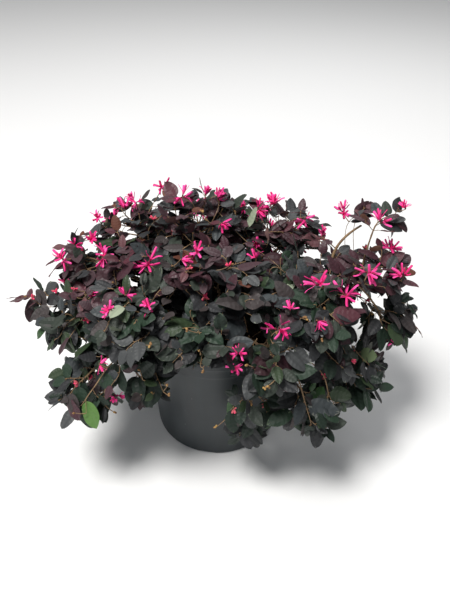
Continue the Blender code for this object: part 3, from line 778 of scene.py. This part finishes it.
for chain in chains:
    side_sign = rng.choice([-1, 1])
    for k in range(1, len(chain)):
        i = chain[k]
        if to_tip[i] > 0.062 or tips[i] > 9:
            continue
        d = unit(P[i] - P[chain[k - 1]])
        nrm = unit(np.array([0, 0, 0.62]) + outward(P[i]) * 0.62 + np.array([0, -0.10, 0]) + rng.normal(0, 0.26, 3))
        side = unit(np.cross(nrm, d))
        side_sign = -side_sign
        tipness = to_tip[i]
        if k == len(chain) - 1:
            ang = rng.uniform(-0.3, 0.3)
        else:
            ang = side_sign * rng.uniform(0.75, 1.15)
        ax = unit(d * math.cos(ang) + side * math.sin(ang) + rng.normal(0, 0.12, 3) + np.array([0, 0, -0.10]))
        if rng.random() < 0.20:
            continue
        grown = min(1.0, 0.66 + tipness / 0.05)
        L = rng.uniform(0.029, 0.042) * grown
        if rng.random() < 0.10:
            L *= 1.15
        leaf_rows.append((P[i], ax, nrm, L, i, tipness))
        if k == len(chain) - 1 and rng.random() < 0.75:
            ang2 = side_sign * rng.uniform(0.7, 1.1)
            ax2 = unit(d * math.cos(ang2) + side * math.sin(ang2))
            leaf_rows.append((P[i], ax2, unit(nrm + rng.normal(0, 0.2, 3)), L * 0.7, i, 0.0))

base = np.array([r[0] for r in leaf_rows])
axis = np.array([r[1] for r in leaf_rows])
normal = np.array([r[2] for r in leaf_rows])
length = np.array([r[3] for r in leaf_rows])
node = np.array([r[4] for r in leaf_rows])
tipness = np.array([r[5] for r in leaf_rows])
axis = unit(axis)
normal = unit(normal - axis * (normal * axis).sum(1, keepdims=True))

# sprays: a spray is what hangs on one junction; each has its own tint
spray = np.zeros(N, int)
for i in range(N):
    par = PARENT[i]
    if par < 0:
        spray[i] = i
    elif len(children[par]) > 1 and tips[i] <= 6:
        spray[i] = i
    else:
        spray[i] = spray[par] if spray[par] else i

print("growth nodes", N, "leaves", len(base), "attractors", len(ATT))

drop = np.zeros(len(base), bool)

# --------------------------------------------------------------------------
# Flowers
# --------------------------------------------------------------------------
# Open flower heads that the photo shows (photo pixels, size factor)
HEADS = [(162, 187, 0.9), (182, 197, 0.95), (125, 209, 0.95), (136, 202, 0.7), (98, 218, 0.6), (92, 240, 0.7), (75, 245, 0.5),
         (62, 259, 1.05), (104, 256, 1.1), (148, 263, 1.25), (181, 259, 0.7), (197, 252, 0.7), (217, 199, 0.9), (221, 223, 0.7),
         (244, 210, 0.7), (257, 209, 0.9), (274, 206, 1.0), (305, 219, 1.0), (343, 212, 0.8), (381, 223, 1.0), (406, 209, 0.6),
         (391, 249, 1.0), (404, 276, 1.1), (368, 272, 1.1), (320, 285, 1.3), (345, 295, 1.3), (256, 259, 0.6), (257, 243, 0.5),
         (290, 311, 0.7), (317, 320, 0.7), (278, 329, 1.25), (239, 353, 0.6), (234, 365, 0.6), (396, 342, 0.6), (66, 282, 0.5),
         (92, 295, 0.5), (110, 311, 0.6), (125, 295, 0.6), (149, 308, 0.6), (99, 364, 0.6), (118, 395, 0.6)]
BUDS = [(32, 298), (56, 291), (229, 266), (87, 320), (75, 290), (262, 254), (190, 268)]
CAPSULES = [(204, 371), (168, 385), (168, 395), (140, 370), (265, 388), (202, 212), (248, 365), (322, 340), (75, 413), (114, 412),
            (216, 427), (268, 386), (150, 345), (188, 330)]


def place_by_pixel(px, py, lift=0.004):
    """Where the view through a photo pixel first meets the foliage."""
    o = Vector(CAM_POS)
    d = Vector(pixel_ray(px, py))
    best = None
    for n in MASS_NAMES:
        hit = MASS_BVH[n].ray_cast(o, d)
        if hit[0] is not None and (best is None or hit[3] < best[0]):
            best = (hit[3], hit[0], hit[1])
    if best is None:      # past the outline: at the depth of the nearest mass
        cand = None
        for n in MASS_NAMES:
            t = (MASS_CENTRE[n] - o).dot(d)
            q = o + d * t
            hit, nrm, _, dist = MASS_BVH[n].find_nearest(q)
            if cand is None or dist < cand[0]:
                cand = (dist, q, nrm)
        return np.array(cand[1]), unit(np.array(cand[2]))
    return np.array(best[1]) - np.array(d) * lift + np.array(d) * 0.006, unit(np.array(best[2]))


petals = Pile()
calyx = Pile()
stalks = Pile()
PETAL_SEG = 7


def strap(base, d0, side, length, width, bend, wave, rr):
    """One strap petal: a channelled ribbon that bends and crinkles."""
    s = np.linspace(0, 1, PETAL_SEG + 1)
    pts = np.zeros((PETAL_SEG + 1, 3))
    dirs = np.zeros((PETAL_SEG + 1, 3))
    d = d0.copy()
    nb = np.cross(side, d0)
    p = base.copy()
    for i in range(PETAL_SEG + 1):
        pts[i] = p
        dirs[i] = d
        h = length / PETAL_SEG
        a = (bend * (0.35 + 1.3 * s[i]) + wave * math.cos(7.5 * s[i] + rr)) / PETAL_SEG
        nb = unit(np.cross(side, d))
        d = unit(d * math.cos(a) + nb * math.sin(a))
        p = p + d * h
    w = width * 0.5 * (0.55 + 0.45 * np.minimum(1, s * 3)) * np.where(s > 0.93, 0.72, 1.0)
    sd = np.repeat(side[None], len(s), 0)
    nn = unit(np.cross(sd, dirs))
    chan = 0.28 * w
    top = np.stack([pts - sd * w[:, None] + nn * chan[:, None], pts, pts + sd * w[:, None] + nn * chan[:, None]], 1)
    low = top - nn[:, None, :] * 0.00022
    n = len(s)
    V = np.concatenate([top.reshape(-1, 3), low.reshape(-1, 3)])
    F = []
    o = n * 3
    for i in range(n - 1):
        for k in range(2):
            a, b, c, e = i * 3 + k, i * 3 + k + 1, (i + 1) * 3 + k + 1, (i + 1) * 3 + k
            F += [(a, b, c), (a, c, e), (o + a, o + c, o + b), (o + a, o + e, o + c)]
        for k in (0, 2):
            a, e = i * 3 + k, (i + 1) * 3 + k
            F += [(a, e, o + e), (a, o + e, o + a)] if k == 0 else [(a, o + e, e), (a, o + a, o + e)]
    last = (n - 1) * 3
    for k in range(2):
        F += [(last + k, last + k + 1, o + last + k + 1), (last + k, o + last + k + 1, o + last + k)]
    return V, np.array(F)


def blob(centre, axis_dir, rx, rz, rings=4, sides=6):
    """A small egg-shaped body."""
    axis_dir = unit(axis_dir)
    ref = np.array([0, 0, 1.0]) if abs(axis_dir[2]) < 0.9 else np.array([1.0, 0, 0])
    u = unit(np.cross(axis_dir, ref))
    v = np.cross(axis_dir, u)
    V = [centre - axis_dir * rz]
    for i in range(1, rings):
        a = math.pi * i / rings
        z = -math.cos(a) * rz
        r = math.sin(a) * rx * (1.0 + 0.12 * math.cos(a))
        for k in range(sides):
            b = 2 * math.pi * k / sides
            V.append(centre + axis_dir * z + (u * math.cos(b) + v * math.sin(b)) * r)
    V.append(centre + axis_dir * rz)
    F = []
    for k in range(sides):
        F.append((0, 1 + (k + 1) % sides, 1 + k))
    for i in range(rings - 2):
        for k in range(sides):
            a = 1 + i * sides + k
            b = 1 + i * sides + (k + 1) % sides
            F += [(a, b, b + sides), (a, b + sides, a + sides)]
    top = len(V) - 1
    o = 1 + (rings - 2) * sides
    for k in range(sides):
        F.append((top, o + k, o + (k + 1) % sides))
    return np.array(V), np.array(F)


KD = KDTree(N)
for i in range(N):
    KD.insert(P[i], i)
KD.balance()


def stalk_to(p, r=0.0006):
    """A short curved twig from the nearest shoot to p; returns its direction."""
    _, i, dist = KD.find(p)
    a = P[i]
    if dist > 0.002:
        mid = (a + p) * 0.5 + np.array([0, 0, -0.12]) * dist
        pts = np.array([a * (1 - t) ** 2 + mid * 2 * t * (1 - t) + p * t * t for t in np.linspace(0, 1, 6)])
        V, F = tube_arrays(pts, np.linspace(r * 1.3, r, 6), 5)
        stalks.add(V, F)
        return unit(p - mid)
    return unit(outward(p))


def flower_head(p, face, size, rng, flowers=None):
    """Three to five flowers of four strap petals each, in one head."""
    stem_dir = stalk_to(p, 0.0007)
    face = unit(face)
    nf = flowers or int(rng.integers(3, 6)) if size > 0.75 else int(rng.integers(2, 4))
    for f in range(nf):
        off = unit(rng.normal(size=3) + face * 0.35)
        c = p + off * 0.0030 * size
        fd = unit(face * 0.45 + off * 1.0 + rng.normal(0, 0.15, 3))
        V, F = blob(c, fd, 0.0015 * size, 0.0024 * size, 4, 6)
        calyx.add(V, F, 0)
        u = unit(np.cross(fd, np.array([0.3, 0.2, 0.9])))
        v = np.cross(fd, u)
        start = rng.uniform(0, 6.28)
        for k in range(4):
            a = start + k * math.pi / 2 + rng.normal(0, 0.18)
            radial = u * math.cos(a) + v * math.sin(a)
            open_ = rng.uniform(0.22, 0.78)
            d0 = unit(fd * math.cos(open_) + radial * math.sin(open_))
            side = unit(np.cross(fd, radial))
            L = (0.35 + 0.65 * size) * rng.uniform(0.0150, 0.0205)
            V, F = strap(c + fd * 0.0018 * size, d0, side, L, rng.uniform(0.0032, 0.0042),
                         rng.normal(0.30, 0.55), rng.normal(0, 1.2), rng.uniform(0, 6.28))
            petals.add(V, F, int(rng.integers(0, 3)))


rngf = np.random.default_rng(88)
head_pts = []
for px, py, size in HEADS:
    p, nrm = place_by_pixel(px, py)
    to_cam = unit(CAM_POS - p)
    face = unit(nrm * 0.5 + to_cam * 0.7 + np.array([0, 0, 0.25]))
    flower_head(p, face, size, rngf)
    head_pts.append((p, size))

# more heads where the photo can't see: back and far sides, dealt along the tips
tip_nodes = [i for i in range(N) if not children[i]]
rngb = np.random.default_rng(5)
rngb.shuffle(tip_nodes)
extra = 0
for i in tip_nodes:
    p = P[i]
    if extra >= 34:
        break
    if p[1] < 0.10 and abs(p[0]) < 0.24:
        continue
    if p[2] < 0.20 or (p[2] < 0.27 and rngb.random() < 0.7):
        continue
    if any(np.linalg.norm(p - q[0]) < 0.042 for q in head_pts):
        continue
    pp, _ = project(p[None])
    if p[1] < 0.10 and any(abs(pp[0, 0] - h[0]) < 16 and abs(pp[0, 1] - h[1]) < 16 for h in HEADS):
        continue
    if p[1] < 0.04:
        continue
    q = p + outward(p) * 0.006
    flower_head(q, unit(outward(p) + np.array([0, 0, 0.5])), rngb.uniform(0.7, 1.1), rngb)
    head_pts.append((q, 0.9))
    extra += 1

# --------------------------------------------------------------------------
# Leaves keep out of the sky, the hollows and the open flowers
# --------------------------------------------------------------------------
def depth_map():
    """Distance along the view's rays to the front of the masses."""
    grid = {}
    for gy in range(176, 462, 6):
        for gx in range(12, 432, 6):
            o = Vector(CAM_POS)
            d = Vector(pixel_ray(gx, gy))
            best = None
            for n in MASS_NAMES:
                hit = MASS_BVH[n].ray_cast(o, d)
                if hit[0] is not None and (best is None or hit[3] < best):
                    best = hit[3]
            if best is not None:
                grid[(gx, gy)] = best
    return grid


DEPTH = depth_map()
DKEYS = np.array(list(DEPTH.keys()), float)
DVALS = np.array(list(DEPTH.values()))


mid = base + axis * length[:, None] * 0.5
# no leaf lies in front of a head of open flowers
for (p, size) in head_pts:
    d = np.linalg.norm(mid - p, axis=1)
    drop |= d < 0.0105 * size
    to_cam = unit(CAM_POS - p)
    rel = mid - p
    along = rel @ to_cam
    perp = np.linalg.norm(rel - along[:, None] * to_cam, axis=1)
    drop |= (along > 0) & (along < 0.06) & (perp < 0.0140 * size)

# buds and spent capsules
buds = Pile()
caps = Pile()
rngc = np.random.default_rng(12)


def bud_cluster(p, face):
    stalk_to(p, 0.0006)
    for k in range(int(rngc.integers(5, 8))):
        d = unit(face + rngc.normal(0, 0.7, 3))
        V, F = blob(p + d * 0.0042, d, 0.0017, 0.0040, 4, 6)
        buds.add(V, F, int(rngc.integers(0, 2)))


def capsule_cluster(p, face):
    stalk_to(p, 0.0006)
    for k in range(int(rngc.integers(1, 4))):
        d = unit(face + rngc.normal(0, 0.8, 3))
        V, F = blob(p + d * 0.0026, d, 0.0018, 0.0025, 5, 7)
        caps.add(V, F, int(rngc.integers(0, 2)))


for px, py in BUDS:
    p, nrm = place_by_pixel(px, py, 0.008)
    bud_cluster(p, unit(nrm + unit(CAM_POS - p)))
for px, py in CAPSULES:
    p, nrm = place_by_pixel(px, py, 0.010)
    capsule_cluster(p, unit(nrm + unit(CAM_POS - p)))
mids = [i for i in range(N) if 0.012 < to_tip[i] < 0.05]
for i in rngc.choice(mids, 110, replace=False):
    q = P[i] + outward(P[i]) * 0.0045
    if rngc.random() < 0.22:
        bud_cluster(q, outward(P[i]))
    else:
        capsule_cluster(q, outward(P[i]))

# --------------------------------------------------------------------------
# Finish the leaves: tints by spray and painted shade on covered leaves, then one mesh per colour family
# --------------------------------------------------------------------------
keep = ~drop
base, axis, normal, length, node, tipness = (a[keep] for a in (base, axis, normal, length, node, tipness))
length = length * np.where((base[:, 1] < 0.0) & (base[:, 2] < 0.37), 1.10, 1.0)   # the front sprays have the largest leaves
nl = len(base)
rngl = np.random.default_rng(64)
width = length * rngl.uniform(0.52, 0.70, nl)
fold = rngl.uniform(0.10, 0.42, nl)
curl = rngl.normal(0.35, 0.32, nl)
twist = rngl.normal(0, 0.18, nl)
wave = rngl.normal(0, 0.06, nl)
broad = rngl.uniform(0.37, 0.46, nl)
petiole = 0.0032
LV = build_leaves(base + axis * petiole, axis, normal, length, width, fold, curl, twist, wave, broad)

spots = LV[:, ::3].reshape(-1, 3)
sp, _ = project(spots)
sp = sp.reshape(nl, -1, 2)
inside = in_gap(sp).sum(1) >= 2
pot_hit = (on_bare_pot(sp).sum(1) >= 3) & (base[:, 1] < 0.0)
hollow = in_hollow(sp).sum(1) >= 4
pmid, dmid = project(base + axis * length[:, None] * 0.5)
near_key = ((pmid[:, None, :] - DKEYS[None]) ** 2).sum(2).argmin(1)
gone = inside | pot_hit | (hollow & (dmid < DVALS[near_key] + 0.045))
# leaves behind the front layer in the hollows, which are given painted shade below
hollow_shade = hollow
ok = ~gone
base, axis, normal, length, node, tipness, width, hollow_shade = (a[ok] for a in (base, axis, normal, length, node, tipness, width, hollow_shade))
LV = LV[ok]
nl = len(base)

mid = base + axis * length[:, None] * 0.5
# painted shade: count the leaves that lie over each leaf towards the key light; covered leaves are given darker colours
up_light = unit(np.array([-0.12, -0.35, 1.0]))
shade_cover = np.zeros(nl, int)                     # how many leaves lie over each leaf
for i0 in range(0, nl, 400):
    rel = mid[None, :, :] - mid[i0:i0 + 400, None, :]
    along = rel @ up_light
    perp2 = (rel ** 2).sum(-1) - along ** 2
    shade_cover[i0:i0 + 400] = ((along > 0.008) & (perp2 < 0.017 ** 2)).sum(1)

fam_of, tone_of = [], []
spray_rng = {}
for k in range(nl):
    s = spray[node[k]]
    if s not in spray_rng:
        r = random.Random(int(s) * 7 + 3)
        x, y, z = P[s]
        if z > 0.350:                                  # crown: charcoal and maroon
            green, red = 0.03, 0.36
        elif z > 0.28:
            green, red = 0.24, 0.04
        else:                                          # low sprays: green
            green, red = 0.55, 0.03
        if z > 0.305 and (x > 0.17 or x < -0.14):      # both shoulders are redder
            red, green = max(red, 0.42), min(green, 0.05)
        if x < -0.275:
            red, green = 0.55, 0.15
        v = r.random()
        fam = "green" if v < green else ("plum" if v > 1.0 - red else "charcoal")
        spray_rng[s] = (fam, r.randrange(0, 5), r)
    fam, tone, r = spray_rng[s]
    f2, t2 = fam, tone
    if r.random() < 0.40:
        t2 = r.randrange(0, 5)
    v = r.random()
    if fam == "charcoal" and v < (0.14 if base[k][2] > 0.335 else 0.04):
        f2, t2 = "plum", r.choice([1, 2, 4])
    elif fam == "charcoal" and v > 0.90 and base[k][2] < 0.30:
        f2, t2 = "green", r.choice([0, 4])
    if f2 == "green":
        if t2 == 3 and (base[k][2] > 0.22 or r.random() < 0.4):
            t2 = 1
        if t2 == 2 and base[k][2] > 0.27:
            t2 = 0
    if f2 == "plum":
        if t2 == 3 and r.random() < 0.6:
            t2 = 1
        if r.random() < 0.04:
            t2 = 5
    if shade_cover[k] >= 2 and r.random() < 0.85:            # painted shade: leaves lying under others get darker tones
        t2 = {"charcoal": r.choice([5, 5, 3]), "plum": 4, "green": 4}[f2]
    elif base[k][2] > 0.33 and r.random() < 0.015:
        f2, t2 = "green", 5
    # painted shade: leaves deep in the hollows are given the near-black tone
    if hollow_shade[k]:
        f2, t2 = "charcoal", 5
    fam_of.append(f2)
    tone_of.append(t2)
fam_of = np.array(fam_of)
tone_of = np.array(tone_of)

nv = len(LT)
tri_total = 0
# the charcoal leaves are two pieces, left and right, to stay well under 200,000 triangles
PARTS = [("charcoal_left", "charcoal", base[:, 0] < 0.0), ("charcoal_right", "charcoal", base[:, 0] >= 0.0),
         ("plum", "plum", np.ones(nl, bool)), ("green", "green", np.ones(nl, bool))]
for part, fam, where in PARTS:
    sel = np.where((fam_of == fam) & where)[0]
    nt = len(TONES[fam])
    V = LV[sel].reshape(-1, 3)
    F = (LF[None] + (np.arange(len(sel)) * nv)[:, None, None]).reshape(-1, 3)
    M = (tone_of[sel][:, None] + LM[None] * nt).reshape(-1)
    # petioles: slim three-sided stalks
    b0 = base[sel]
    a0 = axis[sel]
    s0 = unit(np.cross(normal[sel], a0))
    n0 = np.cross(a0, s0)
    ring = []
    for k in range(3):
        an = 2 * math.pi * k / 3
        off = (s0 * math.cos(an) + n0 * math.sin(an))
        ring.append((b0 + off * 0.00055, b0 + a0 * (petiole + 0.0012) + off * 0.00040 - n0 * 0.0003))
    PV = np.stack([ring[0][0], ring[1][0], ring[2][0], ring[0][1], ring[1][1], ring[2][1]], 1)
    PF = np.array([(0, 1, 4), (0, 4, 3), (1, 2, 5), (1, 5, 4), (2, 0, 3), (2, 3, 5), (3, 4, 5)])
    off = len(V)
    F2 = (PF[None] + (np.arange(len(sel)) * 6)[:, None, None] + off).reshape(-1, 3)
    V = np.vstack([V, PV.reshape(-1, 3)])
    F = np.vstack([F, F2])
    M = np.concatenate([M, np.full(len(F2), 2 * nt)])
    ob = mesh_object("leaves_" + part, V, F, MATS[fam] + [petiole_mat], M, M >= nt)
    tri_total += len(F)
    print("leaves", part, len(sel), "tris", len(F))

# --------------------------------------------------------------------------
# Wood
# --------------------------------------------------------------------------
bark_mat = bark_material("bark_tan", srgb(168, 138, 106), srgb(98, 76, 58), 0.85, 90.0)
twig_mat = bark_material("twig_tan", srgb(158, 130, 96), srgb(104, 80, 60), 0.78, 140.0)
V, F, M = bark.arrays()
wood = mesh_object("stem_and_boughs", V, F, [bark_mat], M, True)
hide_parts("stem", *BOUGHS.keys())
V, F, M = twigs.arrays()
if stalks.n:
    V2, F2, M2 = stalks.arrays()
    V, F, M = np.vstack([V, V2]), np.vstack([F, F2 + len(V)]), np.concatenate([M, M2])
tw = mesh_object("twigs", V, F, [twig_mat], M, True)
print("twigs", len(F))
tri_total += len(F)

# the long bare shoot on the right
a = Vector((0.190, 0.004, 0.332)); v = Vector((0.184, 0.018, 0.378)); b = polar(7, 0.254, 0.406)
pts = np.array([list(a * (1 - t) ** 2 + v * (2 * t * (1 - t)) + b * (t * t)) for t in np.linspace(0.05, 0.85, 40)])
V, F = tube_arrays(pts, np.linspace(0.0026, 0.0016, 40), 10, True, bark_relief(40, 10, 501, 0.06))
shoot = mesh_object("bare_shoot", V, F, [twig_mat], np.zeros(len(F), int), True)
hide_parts("shoot_right_upper")

# --------------------------------------------------------------------------
# Blossom, buds, capsules
# --------------------------------------------------------------------------
pinks = [leaf_material("petal_hot_pink", srgb(255, 84, 168), 0.5, 0.35), leaf_material("petal_rose", srgb(248, 66, 152), 0.5, 0.35),
         leaf_material("petal_deep", srgb(230, 44, 130), 0.5, 0.35)]
V, F, M = petals.arrays()
pt = mesh_object("blossom", V, F, pinks, M, True)
print("petals", len(F))
tri_total += len(F)
V, F, M = calyx.arrays()
cx = mesh_object("calyces", V, F, [leaf_material("calyx_wine", srgb(120, 44, 58), 0.7, 0.3)], M, True)
V, F, M = buds.arrays()
bd = mesh_object("buds", V, F, [leaf_material("bud_coral", srgb(190, 92, 100), 0.6, 0.3), leaf_material("bud_rose", srgb(232, 70, 112), 0.6, 0.3)],
                 M, True)
V, F, M = caps.arrays()
cp = mesh_object("capsules", V, F, [leaf_material("capsule_gold", srgb(176, 142, 88), 0.75, 0.25), leaf_material("capsule_tan", srgb(140, 106, 70), 0.8, 0.25)],
                 M, True)

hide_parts(*[n for n in MASS_NAMES])
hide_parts(*[n for n in MASS_NAMES])
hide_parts(*[n for n in MASS_NAMES])
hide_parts(*[n for n in MASS_NAMES])

# --------------------------------------------------------------------------
# Pot and potting mix
# --------------------------------------------------------------------------
def wall_r(z):
    top = POT_RIM_R - POT_LIP_OUT
    return POT_BASE_R + (top - POT_BASE_R) * z / POT_HEIGHT


def revolve(name, profile, sides, mats, slot, ripple=None):
    V, F = [], []
    idx = []
    for r, z in profile:
        if r < 1e-6:
            idx.append([len(V)] * sides)
            V.append((0, 0, z))
        else:
            row = []
            for i in range(sides):
                a = 2 * math.pi * i / sides
                rr = r + (ripple(a, z, r) if ripple else 0.0)
                row.append(len(V))
                V.append((rr * math.cos(a), rr * math.sin(a), z))
            idx.append(row)
    for A, B in zip(idx, idx[1:]):
        for i in range(sides):
            j = (i + 1) % sides
            for t in ((A[i], B[i], B[j]), (A[i], B[j], A[j])):
                if len(set(t)) == 3:
                    F.append(t)
    me = bpy.data.meshes.new(name)
    me.from_pydata(V, [], F)
    bm = bmesh.new()
    bm.from_mesh(me)
    bmesh.ops.recalc_face_normals(bm, faces=bm.faces[:])
    bm.to_mesh(me)
    bm.free()
    for m in mats:
        me.materials.append(m)
    ob = bpy.data.objects.new(name, me)
    bpy.context.scene.collection.objects.link(ob)
    return ob


def ripple(a, z, r):
    """The thin wall is a little out of round and softly dented."""
    if r < 0.08:
        return 0.0
    k = math.sin(math.pi * min(1.0, max(0.0, z / 0.22)))
    return 0.00045 * k * (math.sin(3 * a + 0.7) + 0.6 * math.sin(7 * a + 9 * z) + 0.35 * math.sin(13 * a + 21 * z))


w = POT_WALL
skirt = POT_HEIGHT - POT_LIP_H
outer = [(0.0, 0.0), (0.05, 0.0), (POT_BASE_R - POT_FOOT_ROUND - 0.004, 0.0), (POT_BASE_R - POT_FOOT_ROUND, 0.0)]
for k in range(1, 8):
    an = math.radians(90.0 * k / 8)
    outer.append((POT_BASE_R - POT_FOOT_ROUND + (wall_r(POT_FOOT_ROUND) - POT_BASE_R + POT_FOOT_ROUND) * math.sin(an), POT_FOOT_ROUND * (1 - math.cos(an))))
for z in np.linspace(POT_FOOT_ROUND, skirt - 0.024, 22):
    outer.append((wall_r(z), z))
outer += [(wall_r(skirt - 0.021) + 0.0002, skirt - 0.021), (wall_r(skirt - 0.0195) + 0.0007, skirt - 0.0195),
          (wall_r(skirt - 0.018) + 0.0008, skirt - 0.018), (wall_r(skirt - 0.008) + 0.0008, skirt - 0.008),
          (wall_r(skirt) + 0.0008, skirt - 0.0004), (wall_r(skirt) + 0.0011, skirt + 0.0001),
          (POT_RIM_R - 0.0010, skirt + 0.0003), (POT_RIM_R - 0.0003, skirt + 0.0010), (POT_RIM_R, skirt + 0.0030),
          (POT_RIM_R, skirt + 0.0080), (POT_RIM_R, POT_HEIGHT - 0.0030), (POT_RIM_R - 0.0004, POT_HEIGHT - 0.0014),
          (POT_RIM_R - 0.0012, POT_HEIGHT - 0.0004), (POT_RIM_R - 0.0024, POT_HEIGHT), (POT_RIM_R - 0.0044, POT_HEIGHT),
          (POT_RIM_R - 0.0053, POT_HEIGHT - 0.0006), (wall_r(skirt) - w, POT_HEIGHT - 0.0022)]
inner = [(wall_r(z) - w, z) for z in np.linspace(skirt, POT_FOOT_ROUND + 0.001, 10)]
inner += [(wall_r(POT_FLOOR) - w - 0.0022, POT_FLOOR), (0.0, POT_FLOOR)]
pot_mat = pot_material()
pot = revolve("nursery_pot", outer + inner, 168, [pot_mat], "pot_plastic", ripple)
for i in range(NOTCH_COUNT):
    az = NOTCH_FIRST_AZ + 360.0 * i / NOTCH_COUNT
    h, hw = NOTCH_HEIGHT, NOTCH_WIDTH / 2
    arch = [(-hw, -0.004), (-hw, h * 0.35), (-hw + 0.0012, h * 0.62), (-hw + 0.003, h * 0.80), (-hw + 0.0055, h * 0.94), (-hw + 0.009, h),
            (hw - 0.009, h), (hw - 0.0055, h * 0.94), (hw - 0.003, h * 0.80), (hw - 0.0012, h * 0.62), (hw, h * 0.35), (hw, -0.004)]
    bm = bmesh.new()
    nearv = [bm.verts.new((POT_BASE_R - NOTCH_DEPTH, y, z)) for y, z in arch]
    farv = [bm.verts.new((POT_BASE_R + 0.010, y, z)) for y, z in arch]
    bm.faces.new(nearv)
    bm.faces.new(farv)
    for k in range(len(arch)):
        j = (k + 1) % len(arch)
        bm.faces.new((nearv[k], nearv[j], farv[j], farv[k]))
    bmesh.ops.recalc_face_normals(bm, faces=bm.faces[:])
    me = bpy.data.meshes.new("cutter")
    bm.to_mesh(me)
    bm.free()
    c = bpy.data.objects.new("cutter_%d" % i, me)
    bpy.context.scene.collection.objects.link(c)
    c.rotation_euler = (0, 0, math.radians(az))
    bpy.context.view_layer.update()
    mod = pot.modifiers.new("drain", 'BOOLEAN')
    mod.operation = 'DIFFERENCE'
    mod.solver = 'EXACT'
    mod.object = c
dg = bpy.context.evaluated_depsgraph_get()
cut_mesh = bpy.data.meshes.new_from_object(pot.evaluated_get(dg))
pot.modifiers.clear()
pot.data = cut_mesh
for o in [o for o in bpy.data.objects if o.name.startswith("cutter_")]:
    bpy.data.objects.remove(o, do_unlink=True)
cut_mesh.shade_smooth()
cut_mesh.set_sharp_from_angle(angle=math.radians(38))
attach(pot, "root")
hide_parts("pot")

# potting mix: an uneven surface strewn with bark chips
soil_mat = bark_material("bark_mix_dark", srgb(84, 66, 50), srgb(38, 30, 24), 0.95, 180.0)
chip_mats = [bark_material("chip_brown", srgb(112, 82, 58), srgb(62, 44, 32), 0.9, 160.0),
             bark_material("chip_dark", srgb(66, 52, 42), srgb(34, 26, 22), 0.95, 160.0)]
soil = Pile()
rs = np.random.default_rng(3)
SR, SN = 26, 120
soil_edge = wall_r(SOIL_TOP) - POT_WALL - 0.0006


def soil_z(x, y):
    r = math.hypot(x, y)
    return SOIL_TOP + SOIL_CROWN * math.exp(-(r / 0.06) ** 2) - 0.0012 + 0.0011 * math.sin(61 * x + 2) * math.cos(53 * y) + 0.0007 * math.sin(140 * x + 90 * y)


V = [(0, 0, soil_z(0, 0))]
for i in range(1, SR + 1):
    r = soil_edge * i / SR
    for k in range(SN):
        a = 2 * math.pi * (k + 0.5 * (i % 2)) / SN
        x, y = r * math.cos(a), r * math.sin(a)
        V.append((x, y, soil_z(x, y) + (rs.normal(0, 0.0005) if i < SR else 0)))
for k in range(SN):
    a = 2 * math.pi * k / SN
    V.append((soil_edge * math.cos(a), soil_edge * math.sin(a), SOIL_TOP - 0.012))
F = []
for k in range(SN):
    F.append((0, 1 + k, 1 + (k + 1) % SN))
for i in range(SR):
    for k in range(SN):
        a, b = 1 + i * SN + k, 1 + i * SN + (k + 1) % SN
        F += [(a, a + SN, b + SN), (a, b + SN, b)]
soil.add(np.array(V), np.array(F), 0)
cube = np.array([(x, y, z) for x in (-1, 1) for y in (-1, 1) for z in (-1, 1)], float)
cubef = np.array([(0, 1, 3), (0, 3, 2), (4, 6, 7), (4, 7, 5), (0, 4, 5), (0, 5, 1), (2, 3, 7), (2, 7, 6), (0, 2, 6), (0, 6, 4), (1, 5, 7), (1, 7, 3)])
for k in range(760):
    r = soil_edge * 0.97 * math.sqrt(rs.random())
    a = rs.uniform(0, 6.283)
    if r < 0.026:
        continue
    x, y = r * math.cos(a), r * math.sin(a)
    sz = np.array([rs.uniform(0.0018, 0.0062), rs.uniform(0.0012, 0.0034), rs.uniform(0.0005, 0.0013)])
    if r + sz[0] > soil_edge - 0.001:
        continue
    q = cube * sz + rs.normal(0, 1, (8, 3)) * sz * 0.22
    R = Matrix.Rotation(rs.uniform(0, 6.283), 3, 'Z') @ Matrix.Rotation(rs.normal(0, 0.35), 3, 'X') @ Matrix.Rotation(rs.normal(0, 0.25), 3, 'Y')
    q = q @ np.array(R).T + np.array([x, y, soil_z(x, y) + 0.0009])
    soil.add(q, cubef, 1 + int(rs.integers(0, 2)))
V, F, M = soil.arrays()
sb = mesh_object("potting_mix_surface", V, F, [soil_mat] + chip_mats, M, False)
NODES["potting_mix"].data.materials.clear()
NODES["potting_mix"].data.materials.append(soil_mat)

# --------------------------------------------------------------------------
# Stage and light
# --------------------------------------------------------------------------
fm = bpy.data.materials.new("floor_white")
fm.use_nodes = True
fb = fm.node_tree.nodes["Principled BSDF"]
fb.inputs["Base Color"].default_value = (0.86, 0.86, 0.86, 1)
fb.inputs["Roughness"].default_value = 0.9
bm = bmesh.new()
bmesh.ops.create_grid(bm, x_segments=1, y_segments=1, size=6.0)
me = bpy.data.meshes.new("floor")
bm.to_mesh(me)
bm.free()
me.materials.append(fm)
floor = bpy.data.objects.new("floor", me)
floor.location = (0, 0, -0.0004)
bpy.context.scene.collection.objects.link(floor)

world = bpy.data.worlds.new("studio")
world.use_nodes = True
world.node_tree.nodes["Background"].inputs["Color"].default_value = (0.93, 0.96, 1.0, 1)
world.node_tree.nodes["Background"].inputs["Strength"].default_value = 0.20
bpy.context.scene.world = world


def area(name, loc, target, size, power, color=(1, 1, 1)):
    ld = bpy.data.lights.new(name, 'AREA')
    ld.shape = 'DISK'
    ld.size = size
    ld.energy = power
    ld.color = color
    lo = bpy.data.objects.new(name, ld)
    lo.location = loc
    d = Vector(target) - Vector(loc)
    lo.rotation_euler = d.to_track_quat('-Z', 'Y').to_euler()
    bpy.context.scene.collection.objects.link(lo)


area("key", (-1.3, -0.9, 4.3), (0, 0, 0.25), 1.7, 235.0, (1.0, 0.985, 0.96))
area("fill", (-1.6, -2.4, 1.5), (0, 0, 0.25), 1.6, 9.0, (0.94, 0.97, 1.0))
area("rim", (0.8, 2.0, 2.4), (0, 0, 0.3), 1.2, 22.0)

bpy.context.scene.view_settings.view_transform = 'Standard'

print("triangles about", tri_total)
